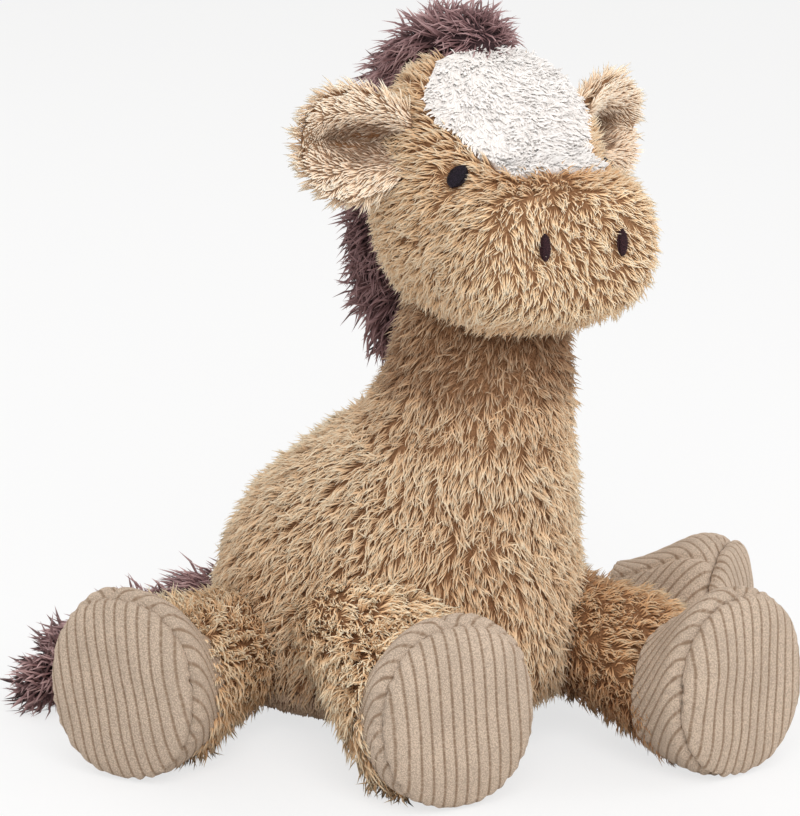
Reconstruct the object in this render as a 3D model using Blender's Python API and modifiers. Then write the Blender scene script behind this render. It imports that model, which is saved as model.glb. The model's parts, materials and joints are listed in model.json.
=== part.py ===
# Seated plush horse: a stuffed body with a sewn-on head, four floppy legs with corduroy hooves, cupped ears,
# a dark mane and a tail that lies on the floor.
# Metres, +Z up. The horse faces -Y and its right side is -X. The origin is on the floor under its belly.
import math

import bmesh
import bpy
from mathutils import Matrix, Vector

# Cloth and clearances
PLUSH_THICKNESS = 0.006
CORDUROY_THICKNESS = 0.0025
NAP_THICKNESS = 0.0025
SEAM_GAP = 0.0003
SEAT_GAP = 0.0008
STUFFING_GAP = 0.0005
FLOOR_CUT = 0.0005
SEAT_CUT = 0.004
OVERRUN = 0.02

# Body
BODY_WIDTH = 0.171
BODY_LENGTH = 0.224
SHOULDER_HEIGHT = 0.176
BELLY_FORWARD = 0.005
NECK_RADIUS = 0.0435
NECK_FORWARD = 0.074
NOD_HEIGHT = 0.205
CHEST_NARROWING_SHARE = 0.16
BODY_SIDES = 10
# Each ring: rise to the shoulder, spread of the outline, how far its width, length and centre have gone to the neck's.
# The first rings draw back from the chest, which hangs clear of the floor.
BODY_RING_SHARES = (
    (0.0, 0.72, 0.0, 0.50, -0.40),
    (0.07, 0.94, 0.0, 0.24, -0.18),
    (0.16, 1.0, 0.0, 0.08, -0.05),
    (0.30, 1.0, 0.0, 0.0, 0.0),
    (0.50, 1.0, 0.10, 0.12, 0.06),
    (0.68, 1.0, 0.36, 0.29, 0.26),
    (0.82, 1.0, 0.69, 0.57, 0.60),
    (0.96, 1.0, 0.93, 0.86, 0.92),
)
# Each ring of the neck's dome: rise and reach in neck radii.
DOME_RING_SHARES = ((0.0, 1.0), (0.62, 0.86), (0.94, 0.46))
SEAT_SEAM_HEIGHT = 0.038

# Pellet bag in the seat
PELLET_BAG_WIDTH = 0.084
PELLET_BAG_LENGTH = 0.104
PELLET_BAG_HEIGHT = 0.026
PELLET_BAG_BACK = 0.022
PELLET_RING_SHARES = ((0.0, 0.80), (0.30, 1.0), (0.75, 0.92), (1.0, 0.55))

# Head
HEAD_WIDTH = 0.112
HEAD_HEIGHT = 0.135
HEAD_LENGTH = 0.140
HEAD_BASE = 0.202
HEAD_TILT = math.radians(3)
NOSE_REACH = 0.081
NOD_DOWN = math.radians(10)
NOD_UP = math.radians(12)
HEAD_SIDES = 10
# Each ring from nose to nape: place along the head, half width, underside, top, squareness.
HEAD_RING_SHARES = (
    (0.0, 0.66, 0.20, 0.50, 2.6),
    (0.05, 0.88, 0.11, 0.61, 2.8),
    (0.20, 0.96, 0.04, 0.65, 2.8),
    (0.35, 0.95, 0.01, 0.68, 2.7),
    (0.48, 0.99, 0.0, 0.90, 2.6),
    (0.66, 1.0, 0.0, 1.0, 2.5),
    (0.85, 0.88, 0.05, 0.96, 2.4),
    (1.0, 0.56, 0.20, 0.76, 2.3),
)

# White blaze: half its outline from the bridge of the nose to the top, as half width and place behind the nose.
BLAZE_WIDTH = 0.078
BLAZE_START = 0.026
BLAZE_LENGTH = 0.066
BLAZE_DEPTH = 0.026
BLAZE_OUTLINE_SHARES = ((0.60, 0.0), (0.66, 0.28), (0.80, 0.47), (1.0, 0.66), (0.96, 0.82), (0.60, 1.0))

# Eyes and nostrils
EYE_WIDTH = 0.0075
EYE_HEIGHT = 0.0105
EYE_RISE = 0.081
EYE_BEHIND_NOSE = 0.045
NOSTRIL_WIDTH = 0.006
NOSTRIL_HEIGHT = 0.0115
NOSTRIL_SPACING = 0.042
NOSTRIL_RISE = 0.053
PAD_THICKNESS = 0.0036
PAD_SEGMENTS = 10
PAD_RINGS = 6

# Ears
EAR_LENGTH = 0.050
EAR_WIDTH = 0.052
EAR_ROOT_WIDTH = 0.026
EAR_CUP = 0.013
EAR_LINING_MARGIN = 0.004
EAR_LINING_GAP = 0.0010
EAR_RISE = 0.0905
EAR_BEHIND_NOSE = 0.077
EAR_ROOT_DEPTH = 0.004
EAR_POCKET_REACH = 0.026
EAR_SWEEP = math.radians(24)
EAR_DROOP = math.radians(6)
EAR_FLAP_FORWARD = math.radians(20)
EAR_FLAP_BACK = math.radians(8)
# Each station from root to tip: place along the ear, width and depth of the cup.
EAR_STATION_SHARES = (
    (0.0, 0.0, 0.55),
    (0.22, 0.62, 0.90),
    (0.50, 1.0, 1.0),
    (0.78, 0.80, 0.72),
    (0.95, 0.10, 0.35),
    (1.0, -0.75, 0.20),
)
EAR_ACROSS_SHARES = (-1.0, -0.36, 0.36, 1.0)

# Mane: each ring as place along the head, height on the head, width and thickness.
MANE_WIDTH = 0.058
MANE_THICKNESS = 0.026
MANE_SIDES = 8
MANE_RING_SHARES = (
    (0.60, 0.90, 0.32, 0.50),
    (0.66, 0.955, 0.56, 0.95),
    (0.80, 0.985, 0.78, 1.15),
    (0.94, 0.90, 0.96, 1.30),
    (1.03, 0.72, 1.05, 1.6),
    (1.06, 0.46, 1.05, 2.0),
    (1.065, 0.18, 1.0, 1.9),
    (1.04, -0.04, 0.80, 1.4),
    (1.0, -0.17, 0.40, 0.60),
)

# Legs
LEG_RADIUS = 0.037
LEG_ROOT_RADIUS = 0.032
ANKLE_HEIGHT = 0.038
HOOF_REACH = 0.110
HOOF_WIDTH = 0.080
HOOF_HEIGHT = 0.090
SOLE_SEAM_SETBACK = 0.006
SOLE_SETTLING_SHARE = 0.6
LEG_SIDES = 8
# Each ring of the leg: reach from the hip to past the ankle, size from root to ankle, drop.
LEG_ROOT_SHARES = ((-0.98, 0.50), (-0.50, 0.98))
LEG_RING_SHARES = ((0.35, 0.3, 0.15), (0.90, 0.95, 0.90), (1.35, 1.0, 1.15))
# Each ring of the hoof: place from ankle to sole, size from leg to full hoof, and what it keeps of that at the sole.
HOOF_RING_SHARES = ((-0.25, -0.10, 1.0), (0.25, 0.66, 1.0), (0.70, 1.10, 1.0), (1.0, 1.0, 0.90))
HOOF_SQUARENESS = 2.2
# Each leg: hip place from the centre line in body widths, forward of the origin in body lengths and above the floor
# in hoof heights, ankle in hoof reaches, heading out from straight ahead, swing limits outward from rest, and
# whether it has rolled over.
LEG_PLACE_SHARES = {
    "front_right": (-0.2942, 0.1875, 0.6556, 0.73, math.radians(6), (0.0, math.radians(22)), False),
    "front_left": (0.3421, 0.3214, 0.4889, 0.73, math.radians(9), (0.0, math.radians(22)), False),
    "hind_right": (-0.4503, -0.0938, 0.4111, 0.73, math.radians(61), (math.radians(-8), math.radians(10)), False),
    "hind_left": (0.4561, -0.0625, 0.4111, 0.55, math.radians(41), (math.radians(-4), math.radians(18)), True),
}

# Tail: each ring as place along the tail from its root, radius and how far it has sunk to the floor.
TAIL_LENGTH = 0.174
TAIL_RADIUS = 0.021
TAIL_ROOT_HEIGHT = 0.040
TAIL_STANDOFF = 0.008
TAIL_BOW = 0.014
TAIL_POCKET_REACH = 0.050
TAIL_HEADING = math.radians(-168)
TAIL_SWING = math.radians(95)
TAIL_SIDES = 8
TAIL_RING_SHARES = (
    (-0.05, 0.30, 0.0),
    (-0.01, 0.53, 0.0),
    (0.12, 0.68, 0.22),
    (0.32, 0.96, 0.70),
    (0.58, 1.0, 1.0),
    (0.84, 0.82, 1.0),
    (0.98, 0.36, 1.0),
)

# Pockets that moving pieces swing in: the turn between two positions, the clearance and the angle that is smoothed.
SWING_STEP = math.radians(12)
SWING_CLEARANCE = 0.0007
POCKET_SMOOTHING = math.radians(3)
NECK_POCKET_DROP = 0.040
SHOULDER_POCKET_DROP = 0.070

FUR = ((0.62, 0.46, 0.29, 1.0), 0.95)
LEG_FUR = ((0.55, 0.38, 0.22, 1.0), 0.95)
SHORT_PILE = ((0.36, 0.25, 0.17, 1.0), 0.95)
DARK_FUR = ((0.16, 0.10, 0.10, 1.0), 0.95)
WHITE_FUR = ((0.90, 0.87, 0.83, 1.0), 0.95)
CORDUROY = ((0.66, 0.54, 0.42, 1.0), 0.90)
NAP = ((0.60, 0.42, 0.28, 1.0), 0.90)
THREAD = ((0.02, 0.015, 0.03, 1.0), 0.45)
DARK_THREAD = ((0.08, 0.04, 0.05, 1.0), 0.70)
FIBREFILL = ((0.90, 0.90, 0.88, 1.0), 1.0)
CALICO = ((0.80, 0.76, 0.66, 1.0), 0.90)


def clear_scene():
    for obj in list(bpy.data.objects):
        bpy.data.objects.remove(obj, do_unlink=True)


def new_collection(name, hidden):
    collection = bpy.data.collections.new(name)
    bpy.context.scene.collection.children.link(collection)
    collection.hide_render = hidden
    return collection


clear_scene()
HORSE = new_collection("plush_horse", hidden=False)
CUTTERS = new_collection("cutters", hidden=True)


def add_object(name, mesh, parent=None, cutter=False):
    obj = bpy.data.objects.new(name, mesh)
    (CUTTERS if cutter else HORSE).objects.link(obj)
    if cutter:
        obj.hide_render = True
        obj.display_type = "WIRE"
    if parent is not None:
        obj.parent = parent
    return obj


def add_empty(name, place, turn=None, parent=None):
    empty = bpy.data.objects.new(name, None)
    HORSE.objects.link(empty)
    empty.empty_display_size = NECK_RADIUS
    empty.matrix_world = Matrix.Translation(place) @ (turn or Matrix.Identity(4))
    if parent is not None:
        bpy.context.view_layer.update()
        empty.parent = parent
        empty.matrix_parent_inverse = parent.matrix_world.inverted()
    return empty


def dress(obj, finish):
    colour, roughness = finish
    material = bpy.data.materials.new(obj.name)
    material.use_nodes = True
    shader = material.node_tree.nodes["Principled BSDF"]
    shader.inputs["Base Color"].default_value = colour
    shader.inputs["Roughness"].default_value = roughness
    shader.inputs["Metallic"].default_value = 0.0
    obj.data.materials.append(material)
    obj.data.shade_smooth()
    obj.data.set_sharp_from_angle(angle=math.radians(40))


def mesh_from(bm, name):
    bmesh.ops.recalc_face_normals(bm, faces=bm.faces)
    mesh = bpy.data.meshes.new(name)
    bm.to_mesh(mesh)
    bm.free()
    return mesh


def blend(start, end, share):
    return start + (end - start) * share


def signed_power(value, power):
    return math.copysign(abs(value) ** power, value)


def ring(centre, across, up, squareness=2.0, narrowing=0.0):
    return {"centre": centre, "across": across, "up": up, "squareness": squareness, "narrowing": narrowing}


# A soft form is a cage of rings under one level of subdivision. The cage stands outside the form by the amount
# that the subdivision draws in. An inset moves the whole surface inward, for what lies inside a cover.
def soft_form(name, rings, sides, parent=None, cutter=False, inset=0.0):
    swell = 1.0 / math.cos(math.pi / sides)
    bm = bmesh.new()
    loops = []
    for one in rings:
        loop = []
        for index in range(sides):
            angle = math.tau * index / sides
            x = signed_power(math.cos(angle), 2.0 / one["squareness"])
            y = signed_power(math.sin(angle), 2.0 / one["squareness"])
            width = 1.0 + one["narrowing"] * y
            point = one["centre"] + one["across"] * (x * width * swell) + one["up"] * (y * swell)
            loop.append(bm.verts.new(point))
        loops.append(loop)
    for below, above in zip(loops, loops[1:]):
        for index in range(sides):
            after = (index + 1) % sides
            bm.faces.new((below[index], below[after], above[after], above[index]))
    bm.faces.new(loops[0])
    bm.faces.new(loops[-1])
    obj = add_object(name, mesh_from(bm, name), parent, cutter)
    smooth = obj.modifiers.new("smooth", "SUBSURF")
    smooth.levels = 1
    smooth.render_levels = 1
    if inset:
        shift_along_normals(obj, -inset)
    return obj


def shell(obj, thickness, offset=-1.0):
    wall = obj.modifiers.new("wall", "SOLIDIFY")
    wall.thickness = thickness
    wall.offset = offset


def shift_along_normals(obj, distance):
    moved = obj.modifiers.new("shift", "DISPLACE")
    moved.strength = distance
    moved.mid_level = 0.0


def boolean(obj, cutter, operation="DIFFERENCE"):
    cut = obj.modifiers.new(cutter.name, "BOOLEAN")
    cut.operation = operation
    cut.object = cutter
    cut.solver = "EXACT"


def box_cutter(name, low, high, parent=None):
    bm = bmesh.new()
    bmesh.ops.create_cube(bm, size=1.0)
    size = high - low
    bmesh.ops.scale(bm, vec=size, verts=bm.verts)
    bmesh.ops.translate(bm, vec=(low + high) / 2, verts=bm.verts)
    return add_object(name, mesh_from(bm, name), parent, cutter=True)


def evaluated_mesh(obj):
    bpy.context.view_layer.update()
    graph = bpy.context.evaluated_depsgraph_get()
    return bpy.data.meshes.new_from_object(obj.evaluated_get(graph), depsgraph=graph)


def convex_hull(points):
    bm = bmesh.new()
    for point in points:
        bm.verts.new(point)
    hull = bmesh.ops.convex_hull(bm, input=bm.verts)
    spare = {g for g in hull["geom_interior"] + hull["geom_unused"] if isinstance(g, bmesh.types.BMVert)}
    bmesh.ops.delete(bm, geom=list(spare), context="VERTS")
    return bm


# The space that forms take as they turn about an axis through a pivot: the hull of their points near it, moved out
# by a clearance, at several angles between the limits. Points that hardly bend the hull are left out.
def swing_cutter(name, forms, pivot, axis, limits, near):
    points = []
    for form in forms:
        mesh = evaluated_mesh(form)
        place = pivot.matrix_world.inverted() @ form.matrix_world
        moved = [place @ (v.co + v.normal * SWING_CLEARANCE) for v in mesh.vertices]
        points += [point for point in moved if near(point)]
        bpy.data.meshes.remove(mesh)
    low, high = sorted(limits)
    steps = math.ceil((high - low) / SWING_STEP)
    turned = []
    for step in range(steps + 1):
        turn = Matrix.Rotation(blend(low, high, step / steps), 3, axis)
        turned += [turn @ point for point in points]
    full = convex_hull(turned)
    bmesh.ops.dissolve_limit(full, angle_limit=POCKET_SMOOTHING, verts=full.verts, edges=full.edges)
    corners = [vertex.co.copy() for vertex in full.verts]
    full.free()
    return add_object(name, mesh_from(convex_hull(corners), name), pivot, cutter=True)


FLOOR = box_cutter(
    "floor",
    Vector((-BODY_LENGTH, -BODY_LENGTH, -HOOF_HEIGHT)) * 2,
    Vector((BODY_LENGTH * 2, BODY_LENGTH * 2, 0.0)),
)


# Body and neck, made of horizontal rings.
def body_rings():
    rings = []
    for rise, spread, thin, shorten, lean in BODY_RING_SHARES:
        height = blend(-SEAT_CUT, SHOULDER_HEIGHT, rise)
        width = blend(BODY_WIDTH / 2 * spread, NECK_RADIUS, thin)
        length = blend(BODY_LENGTH / 2 * spread, NECK_RADIUS, shorten)
        centre = Vector((0.0, -blend(BELLY_FORWARD, NECK_FORWARD, lean), height))
        narrowing = CHEST_NARROWING_SHARE * (1.0 - lean)
        rings.append(ring(centre, Vector((width, 0, 0)), Vector((0, length, 0)), narrowing=narrowing))
    for rise, reach in DOME_RING_SHARES:
        centre = Vector((0.0, -NECK_FORWARD, NOD_HEIGHT + rise * NECK_RADIUS))
        rings.append(ring(centre, Vector((reach * NECK_RADIUS, 0, 0)), Vector((0, reach * NECK_RADIUS, 0))))
    return rings


# Head, made of upright rings from nose to nape, in the nod pivot's frame.
def head_rings():
    base = HEAD_BASE - NOD_HEIGHT
    rings = []
    for along, width, low, high, squareness in HEAD_RING_SHARES:
        bottom = base + HEAD_HEIGHT * low
        top = base + HEAD_HEIGHT * high
        centre = Vector((0.0, -NOSE_REACH + HEAD_LENGTH * along, (bottom + top) / 2))
        across = Vector((HEAD_WIDTH / 2 * width, 0, 0))
        up = Vector((0, 0, (top - bottom) / 2))
        rings.append(ring(centre, across, up, squareness))
    return rings


def leg_ring(reach, drop, width, height, squareness=2.0):
    return ring(Vector((reach, 0, -drop)), Vector((0, width, 0)), Vector((0, 0, height)), squareness)


# A leg lies along +X from its hip, in the hip pivot's frame, and sinks to its ankle.
def leg_rings(hip_height, ankle):
    rings = [leg_ring(LEG_ROOT_RADIUS * back, 0.0, *[LEG_ROOT_RADIUS * size] * 2) for back, size in LEG_ROOT_SHARES]
    for reach, size, drop in LEG_RING_SHARES:
        radius = blend(LEG_ROOT_RADIUS, LEG_RADIUS, size)
        rings.append(leg_ring(ankle * reach, (hip_height - ANKLE_HEIGHT) * drop, radius, radius))
    return rings


# A hoof's sole stands upright, or lies on its side where the leg has rolled over.
def hoof_rings(hip_height, ankle, rolled):
    width, height = (HOOF_HEIGHT, HOOF_WIDTH) if rolled else (HOOF_WIDTH, HOOF_HEIGHT)
    ankle_drop = hip_height - ANKLE_HEIGHT
    floor_drop = hip_height - height / 2 + FLOOR_CUT
    rings = []
    for along, size, kept in HOOF_RING_SHARES:
        reach = blend(ankle, HOOF_REACH, along)
        half_width = blend(LEG_RADIUS, width / 2, size) * kept
        half_height = blend(LEG_RADIUS, height / 2, size) * kept
        settled = height / 2 * (1.0 - kept) * SOLE_SETTLING_SHARE
        drop = blend(ankle_drop, floor_drop, size) + settled
        rings.append(leg_ring(reach, drop, half_width, half_height, HOOF_SQUARENESS))
    return rings


# A cutter that takes all of a leg between two reaches from the hip.
def leg_slab(name, start, end, pivot):
    low = Vector((start, -HOOF_HEIGHT, -HOOF_HEIGHT))
    return box_cutter(name, low, Vector((end, HOOF_HEIGHT, HOOF_HEIGHT)), pivot)


def build_leg(name, hip, body_pieces):
    side_share, forward_share, height_share, ankle_share, heading, limits, rolled = hip
    side = BODY_WIDTH * side_share
    forward = BODY_LENGTH * forward_share
    height = HOOF_HEIGHT * height_share
    ankle = HOOF_REACH * ankle_share
    leg = leg_rings(height, ankle)
    hoof = hoof_rings(height, ankle, rolled)
    outward = math.copysign(1.0, side)
    turn = Matrix.Rotation(-math.pi / 2 + outward * heading, 4, "Z")
    pivot = add_empty(f"hip_{name}", Vector((side, -forward, height)), turn)
    seam = HOOF_REACH - SOLE_SEAM_SETBACK
    past_ankle = leg_slab(f"past_ankle_{name}", ankle, HOOF_REACH * 2, pivot)
    before_hoof = leg_slab(f"before_hoof_{name}", -HOOF_REACH, ankle + SEAM_GAP, pivot)
    past_upper = leg_slab(f"past_upper_{name}", seam, HOOF_REACH * 2, pivot)
    before_sole = leg_slab(f"before_sole_{name}", -HOOF_REACH, seam + SEAM_GAP, pivot)

    cover = soft_form(f"leg_cover_{name}", leg, LEG_SIDES, pivot)
    sweep = (outward * limits[0], outward * limits[1])
    pocket = swing_cutter(f"leg_pocket_{name}", [cover], pivot, "Z", sweep, lambda point: point.x < ankle)
    for piece in body_pieces:
        boolean(piece, pocket)
    shell(cover, PLUSH_THICKNESS)
    boolean(cover, past_ankle)
    dress(cover, LEG_FUR)

    upper = soft_form(f"hoof_upper_{name}", hoof, LEG_SIDES, pivot)
    shell(upper, CORDUROY_THICKNESS)
    boolean(upper, before_hoof)
    boolean(upper, past_upper)
    boolean(upper, FLOOR)
    dress(upper, CORDUROY)

    sole = soft_form(f"hoof_sole_{name}", hoof, LEG_SIDES, pivot)
    shell(sole, CORDUROY_THICKNESS)
    boolean(sole, before_sole)
    boolean(sole, FLOOR)
    dress(sole, CORDUROY)

    in_leg = PLUSH_THICKNESS + STUFFING_GAP
    in_hoof = CORDUROY_THICKNESS + STUFFING_GAP
    fill = soft_form(f"hoof_fill_{name}", hoof, LEG_SIDES, pivot, cutter=True, inset=in_hoof)
    boolean(fill, before_hoof)
    stuffing = soft_form(f"leg_stuffing_{name}", leg, LEG_SIDES, pivot, inset=in_leg)
    boolean(stuffing, fill, "UNION")
    dress(stuffing, FIBREFILL)
    return pivot


# The body's cover ends at a seam round its foot, where the short-pile seat panel takes over.
def build_body():
    cover = soft_form("body_cover", body_rings(), BODY_SIDES)
    panel = soft_form("seat_panel", body_rings(), BODY_SIDES)
    stuffing = soft_form("body_stuffing", body_rings(), BODY_SIDES, inset=PLUSH_THICKNESS + STUFFING_GAP)
    reach = Vector((BODY_LENGTH, BODY_LENGTH, 0.0))
    below = Vector((0.0, 0.0, -SEAT_SEAM_HEIGHT))
    seam = Vector((0.0, 0.0, SEAT_SEAM_HEIGHT))
    shoulder = Vector((0.0, 0.0, SHOULDER_HEIGHT * 2))
    gap = Vector((0.0, 0.0, SEAM_GAP))
    shell(cover, PLUSH_THICKNESS)
    shell(panel, PLUSH_THICKNESS)
    boolean(cover, box_cutter("below_seat_seam", below - reach, seam + gap + reach))
    boolean(panel, box_cutter("above_seat_seam", seam - reach, shoulder + reach))
    boolean(panel, FLOOR)
    dress(cover, FUR)
    dress(panel, SHORT_PILE)
    dress(stuffing, FIBREFILL)
    return cover, panel, stuffing


# The bag stands on the seat's cloth. Its pocket goes on down through the stuffing.
def pellet_rings(grow, sunk=0.0):
    rings = []
    floor = PLUSH_THICKNESS + STUFFING_GAP - SEAT_CUT / 2
    steps = [(floor - grow + (PELLET_BAG_HEIGHT + 2 * grow) * rise, size) for rise, size in PELLET_RING_SHARES]
    if sunk:
        steps.insert(0, (floor - sunk, PELLET_RING_SHARES[0][1]))
    for height, size in steps:
        centre = Vector((0.0, PELLET_BAG_BACK, height))
        across = Vector((PELLET_BAG_WIDTH / 2 * size + grow, 0, 0))
        up = Vector((0, PELLET_BAG_LENGTH / 2 * size + grow, 0))
        rings.append(ring(centre, across, up, 2.4))
    return rings


def build_pellet_bag(stuffing):
    bag = soft_form("seat_pellet_bag", pellet_rings(0.0), LEG_SIDES)
    dress(bag, CALICO)
    pocket = soft_form("pellet_pocket", pellet_rings(STUFFING_GAP, OVERRUN), LEG_SIDES, cutter=True)
    boolean(stuffing, pocket)


def blaze_outline():
    half = [
        (BLAZE_WIDTH / 2 * across, -NOSE_REACH + BLAZE_START + BLAZE_LENGTH * back)
        for across, back in BLAZE_OUTLINE_SHARES
    ]
    return half + [(-x, y) for x, y in reversed(half)]


# The blaze's outline pushed down through the top of the head, grown sideways by a gap.
def blaze_prism(name, grow, parent):
    points = blaze_outline()
    middle = sum((Vector(p) for p in points), Vector((0, 0))) / len(points)
    top = HEAD_BASE - NOD_HEIGHT + HEAD_HEIGHT + OVERRUN
    bm = bmesh.new()
    corners = []
    for point in points:
        out = (Vector(point) - middle).normalized() * grow
        corners.append(bm.verts.new((point[0] + out.x, point[1] + out.y, top)))
    face = bm.faces.new(corners)
    drop = bmesh.ops.extrude_face_region(bm, geom=[face])
    lower = [g for g in drop["geom"] if isinstance(g, bmesh.types.BMVert)]
    depth = HEAD_HEIGHT * (1 - HEAD_RING_SHARES[2][3]) + OVERRUN + BLAZE_DEPTH
    bmesh.ops.translate(bm, vec=(0, 0, -depth), verts=lower)
    return add_object(name, mesh_from(bm, name), parent, cutter=True)


def surface_point(mesh_obj, start, direction):
    bpy.context.view_layer.update()
    graph = bpy.context.evaluated_depsgraph_get()
    hit, place, normal, _ = mesh_obj.evaluated_get(graph).ray_cast(start, direction)
    assert hit
    return place, normal


# A sewn pad is an oval lens that lies in the cloth, turned to the surface there.
def build_pad(name, place, normal, width, height, parent, cover, finish):
    turn = normal.to_track_quat("Z", "Y").to_matrix().to_4x4()
    matrix = Matrix.Translation(place - normal * (PAD_THICKNESS / 4)) @ turn
    for label, grow in ((name, 0.0), (f"{name}_pocket", SEAM_GAP)):
        bm = bmesh.new()
        bmesh.ops.create_uvsphere(bm, u_segments=PAD_SEGMENTS, v_segments=PAD_RINGS, radius=1.0)
        size = Vector((width / 2, height / 2, PAD_THICKNESS / 2)) + Vector((grow, grow, grow))
        bmesh.ops.scale(bm, vec=size, verts=bm.verts)
        obj = add_object(label, mesh_from(bm, label), parent, cutter=grow > 0)
        obj.matrix_local = matrix
        if grow > 0:
            boolean(cover, obj)
        else:
            dress(obj, finish)


# Width and depth of the cup at a place along the ear, in a straight line between the stations.
def ear_station(along):
    for near, far in zip(EAR_STATION_SHARES, EAR_STATION_SHARES[1:]):
        if along <= far[0]:
            share = (along - near[0]) / (far[0] - near[0])
            return blend(near[1], far[1], share), blend(near[2], far[2], share)


# An ear is a cupped leaf along +X with its root on the flap axis. The sheet is where its two cloths meet; a margin
# leaves the plush bare round the lining.
def ear_sheet(name, side, margin, pivot):
    bm = bmesh.new()
    rows = []
    for station, _, _ in EAR_STATION_SHARES:
        along = station * (EAR_LENGTH - margin) / EAR_LENGTH
        size, cup = ear_station(along)
        half_width = blend(EAR_ROOT_WIDTH, EAR_WIDTH, size) / 2
        row = []
        for across in EAR_ACROSS_SHARES:
            height = across * (half_width - margin)
            depth = EAR_CUP * cup * math.cos(height / half_width * math.pi / 2)
            row.append(bm.verts.new((EAR_LENGTH * along, side * depth, height)))
        rows.append(row)
    for near, far in zip(rows, rows[1:]):
        for index in range(len(EAR_ACROSS_SHARES) - 1):
            corners = (near[index], far[index], far[index + 1], near[index + 1])
            bm.faces.new(corners if side > 0 else corners[::-1])
    mesh = bpy.data.meshes.new(name)
    bm.to_mesh(mesh)
    bm.free()
    obj = add_object(name, mesh, pivot)
    smooth = obj.modifiers.new("smooth", "SUBSURF")
    smooth.levels = 1
    smooth.render_levels = 1
    return obj


def build_ear(side_name, side, head_pivot, head_form, head_pieces):
    outward = Vector((side, 0, 0))
    base = HEAD_BASE - NOD_HEIGHT
    start = Vector((side * HEAD_WIDTH, -NOSE_REACH + EAR_BEHIND_NOSE, base + EAR_RISE))
    place, _ = surface_point(head_form, start, -outward)
    heading = math.pi / 2 - side * (math.pi / 2 - EAR_SWEEP)
    turn = Matrix.Rotation(heading, 4, "Z") @ Matrix.Rotation(EAR_DROOP, 4, "Y")
    root = head_pivot.matrix_world @ (place - outward * EAR_ROOT_DEPTH)
    tilt = head_pivot.matrix_world.to_3x3().to_4x4()
    pivot = add_empty(f"ear_root_{side_name}", root, tilt @ turn, head_pivot)
    back = ear_sheet(f"ear_back_{side_name}", side, 0.0, pivot)
    lining = ear_sheet(f"ear_lining_{side_name}", side, EAR_LINING_MARGIN, pivot)
    shell(back, PLUSH_THICKNESS)
    shift_along_normals(lining, EAR_LINING_GAP)
    shell(lining, NAP_THICKNESS, offset=1.0)
    pocket = swing_cutter(
        f"ear_pocket_{side_name}",
        [back, lining],
        pivot,
        "Z",
        (side * EAR_FLAP_BACK, -side * EAR_FLAP_FORWARD),
        lambda point: point.x < EAR_POCKET_REACH,
    )
    for piece in head_pieces:
        boolean(piece, pocket)
    dress(back, FUR)
    dress(lining, NAP)


# The mane is a crest that follows the head from the forelock to the nape.
def mane_rings():
    base = HEAD_BASE - NOD_HEIGHT
    path = [
        Vector((0, -NOSE_REACH + HEAD_LENGTH * along, base + HEAD_HEIGHT * height))
        for along, height, _, _ in MANE_RING_SHARES
    ]
    rings = []
    for index, (_, _, width, thickness) in enumerate(MANE_RING_SHARES):
        run = path[min(index + 1, len(path) - 1)] - path[max(index - 1, 0)]
        up = run.normalized().cross(Vector((1, 0, 0))) * (MANE_THICKNESS / 2 * thickness)
        rings.append(ring(path[index], Vector((MANE_WIDTH / 2 * width, 0, 0)), up))
    return rings


def build_head(body_form):
    tilt = Matrix.Rotation(HEAD_TILT, 4, "Y")
    pivot = add_empty("nod_pivot", Vector((0, -NECK_FORWARD, NOD_HEIGHT)), tilt)
    form = soft_form("head_form", head_rings(), HEAD_SIDES, pivot, cutter=True)
    around = soft_form("head_surround", head_rings(), HEAD_SIDES, pivot, cutter=True, inset=-SEAT_GAP)
    nod = (-NOD_DOWN, NOD_UP)
    neck = swing_cutter("neck_pocket", [body_form], pivot, "X", nod, lambda point: point.z > -NECK_POCKET_DROP)
    shoulders = swing_cutter(
        "shoulder_pocket",
        [body_form],
        pivot,
        "X",
        nod,
        lambda point: -SHOULDER_POCKET_DROP < point.z < NECK_POCKET_DROP - SHOULDER_POCKET_DROP,
    )
    cover = soft_form("head_cover", head_rings(), HEAD_SIDES, pivot)
    shell(cover, PLUSH_THICKNESS)
    stuffing = soft_form("head_stuffing", head_rings(), HEAD_SIDES, pivot, inset=PLUSH_THICKNESS + STUFFING_GAP)
    boolean(cover, neck)
    boolean(stuffing, neck)
    for side_name, side in (("right", -1), ("left", 1)):
        build_ear(side_name, side, pivot, form, (cover, stuffing))

    blaze = soft_form("blaze", head_rings(), HEAD_SIDES, pivot)
    shell(blaze, PLUSH_THICKNESS)
    boolean(blaze, blaze_prism("blaze_outline", 0.0, pivot), "INTERSECT")
    boolean(cover, blaze_prism("blaze_opening", SEAM_GAP, pivot))

    base = HEAD_BASE - NOD_HEIGHT
    for side_name, side in (("right", -1), ("left", 1)):
        start = Vector((side * HEAD_WIDTH, -NOSE_REACH + EYE_BEHIND_NOSE, base + EYE_RISE))
        place, normal = surface_point(form, start, Vector((-side, 0, 0)))
        build_pad(f"eye_{side_name}", place, normal, EYE_WIDTH, EYE_HEIGHT, pivot, cover, THREAD)
        start = Vector((side * NOSTRIL_SPACING / 2, -HEAD_LENGTH, base + NOSTRIL_RISE))
        place, normal = surface_point(form, start, Vector((0, 1, 0)))
        name = f"nostril_{side_name}"
        build_pad(name, place, normal, NOSTRIL_WIDTH, NOSTRIL_HEIGHT, pivot, cover, DARK_THREAD)

    mane = soft_form("mane", mane_rings(), MANE_SIDES, pivot)
    boolean(mane, around)
    boolean(mane, neck)
    boolean(mane, shoulders)
    dress(cover, FUR)
    dress(stuffing, FIBREFILL)
    dress(blaze, WHITE_FUR)
    dress(mane, DARK_FUR)


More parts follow.
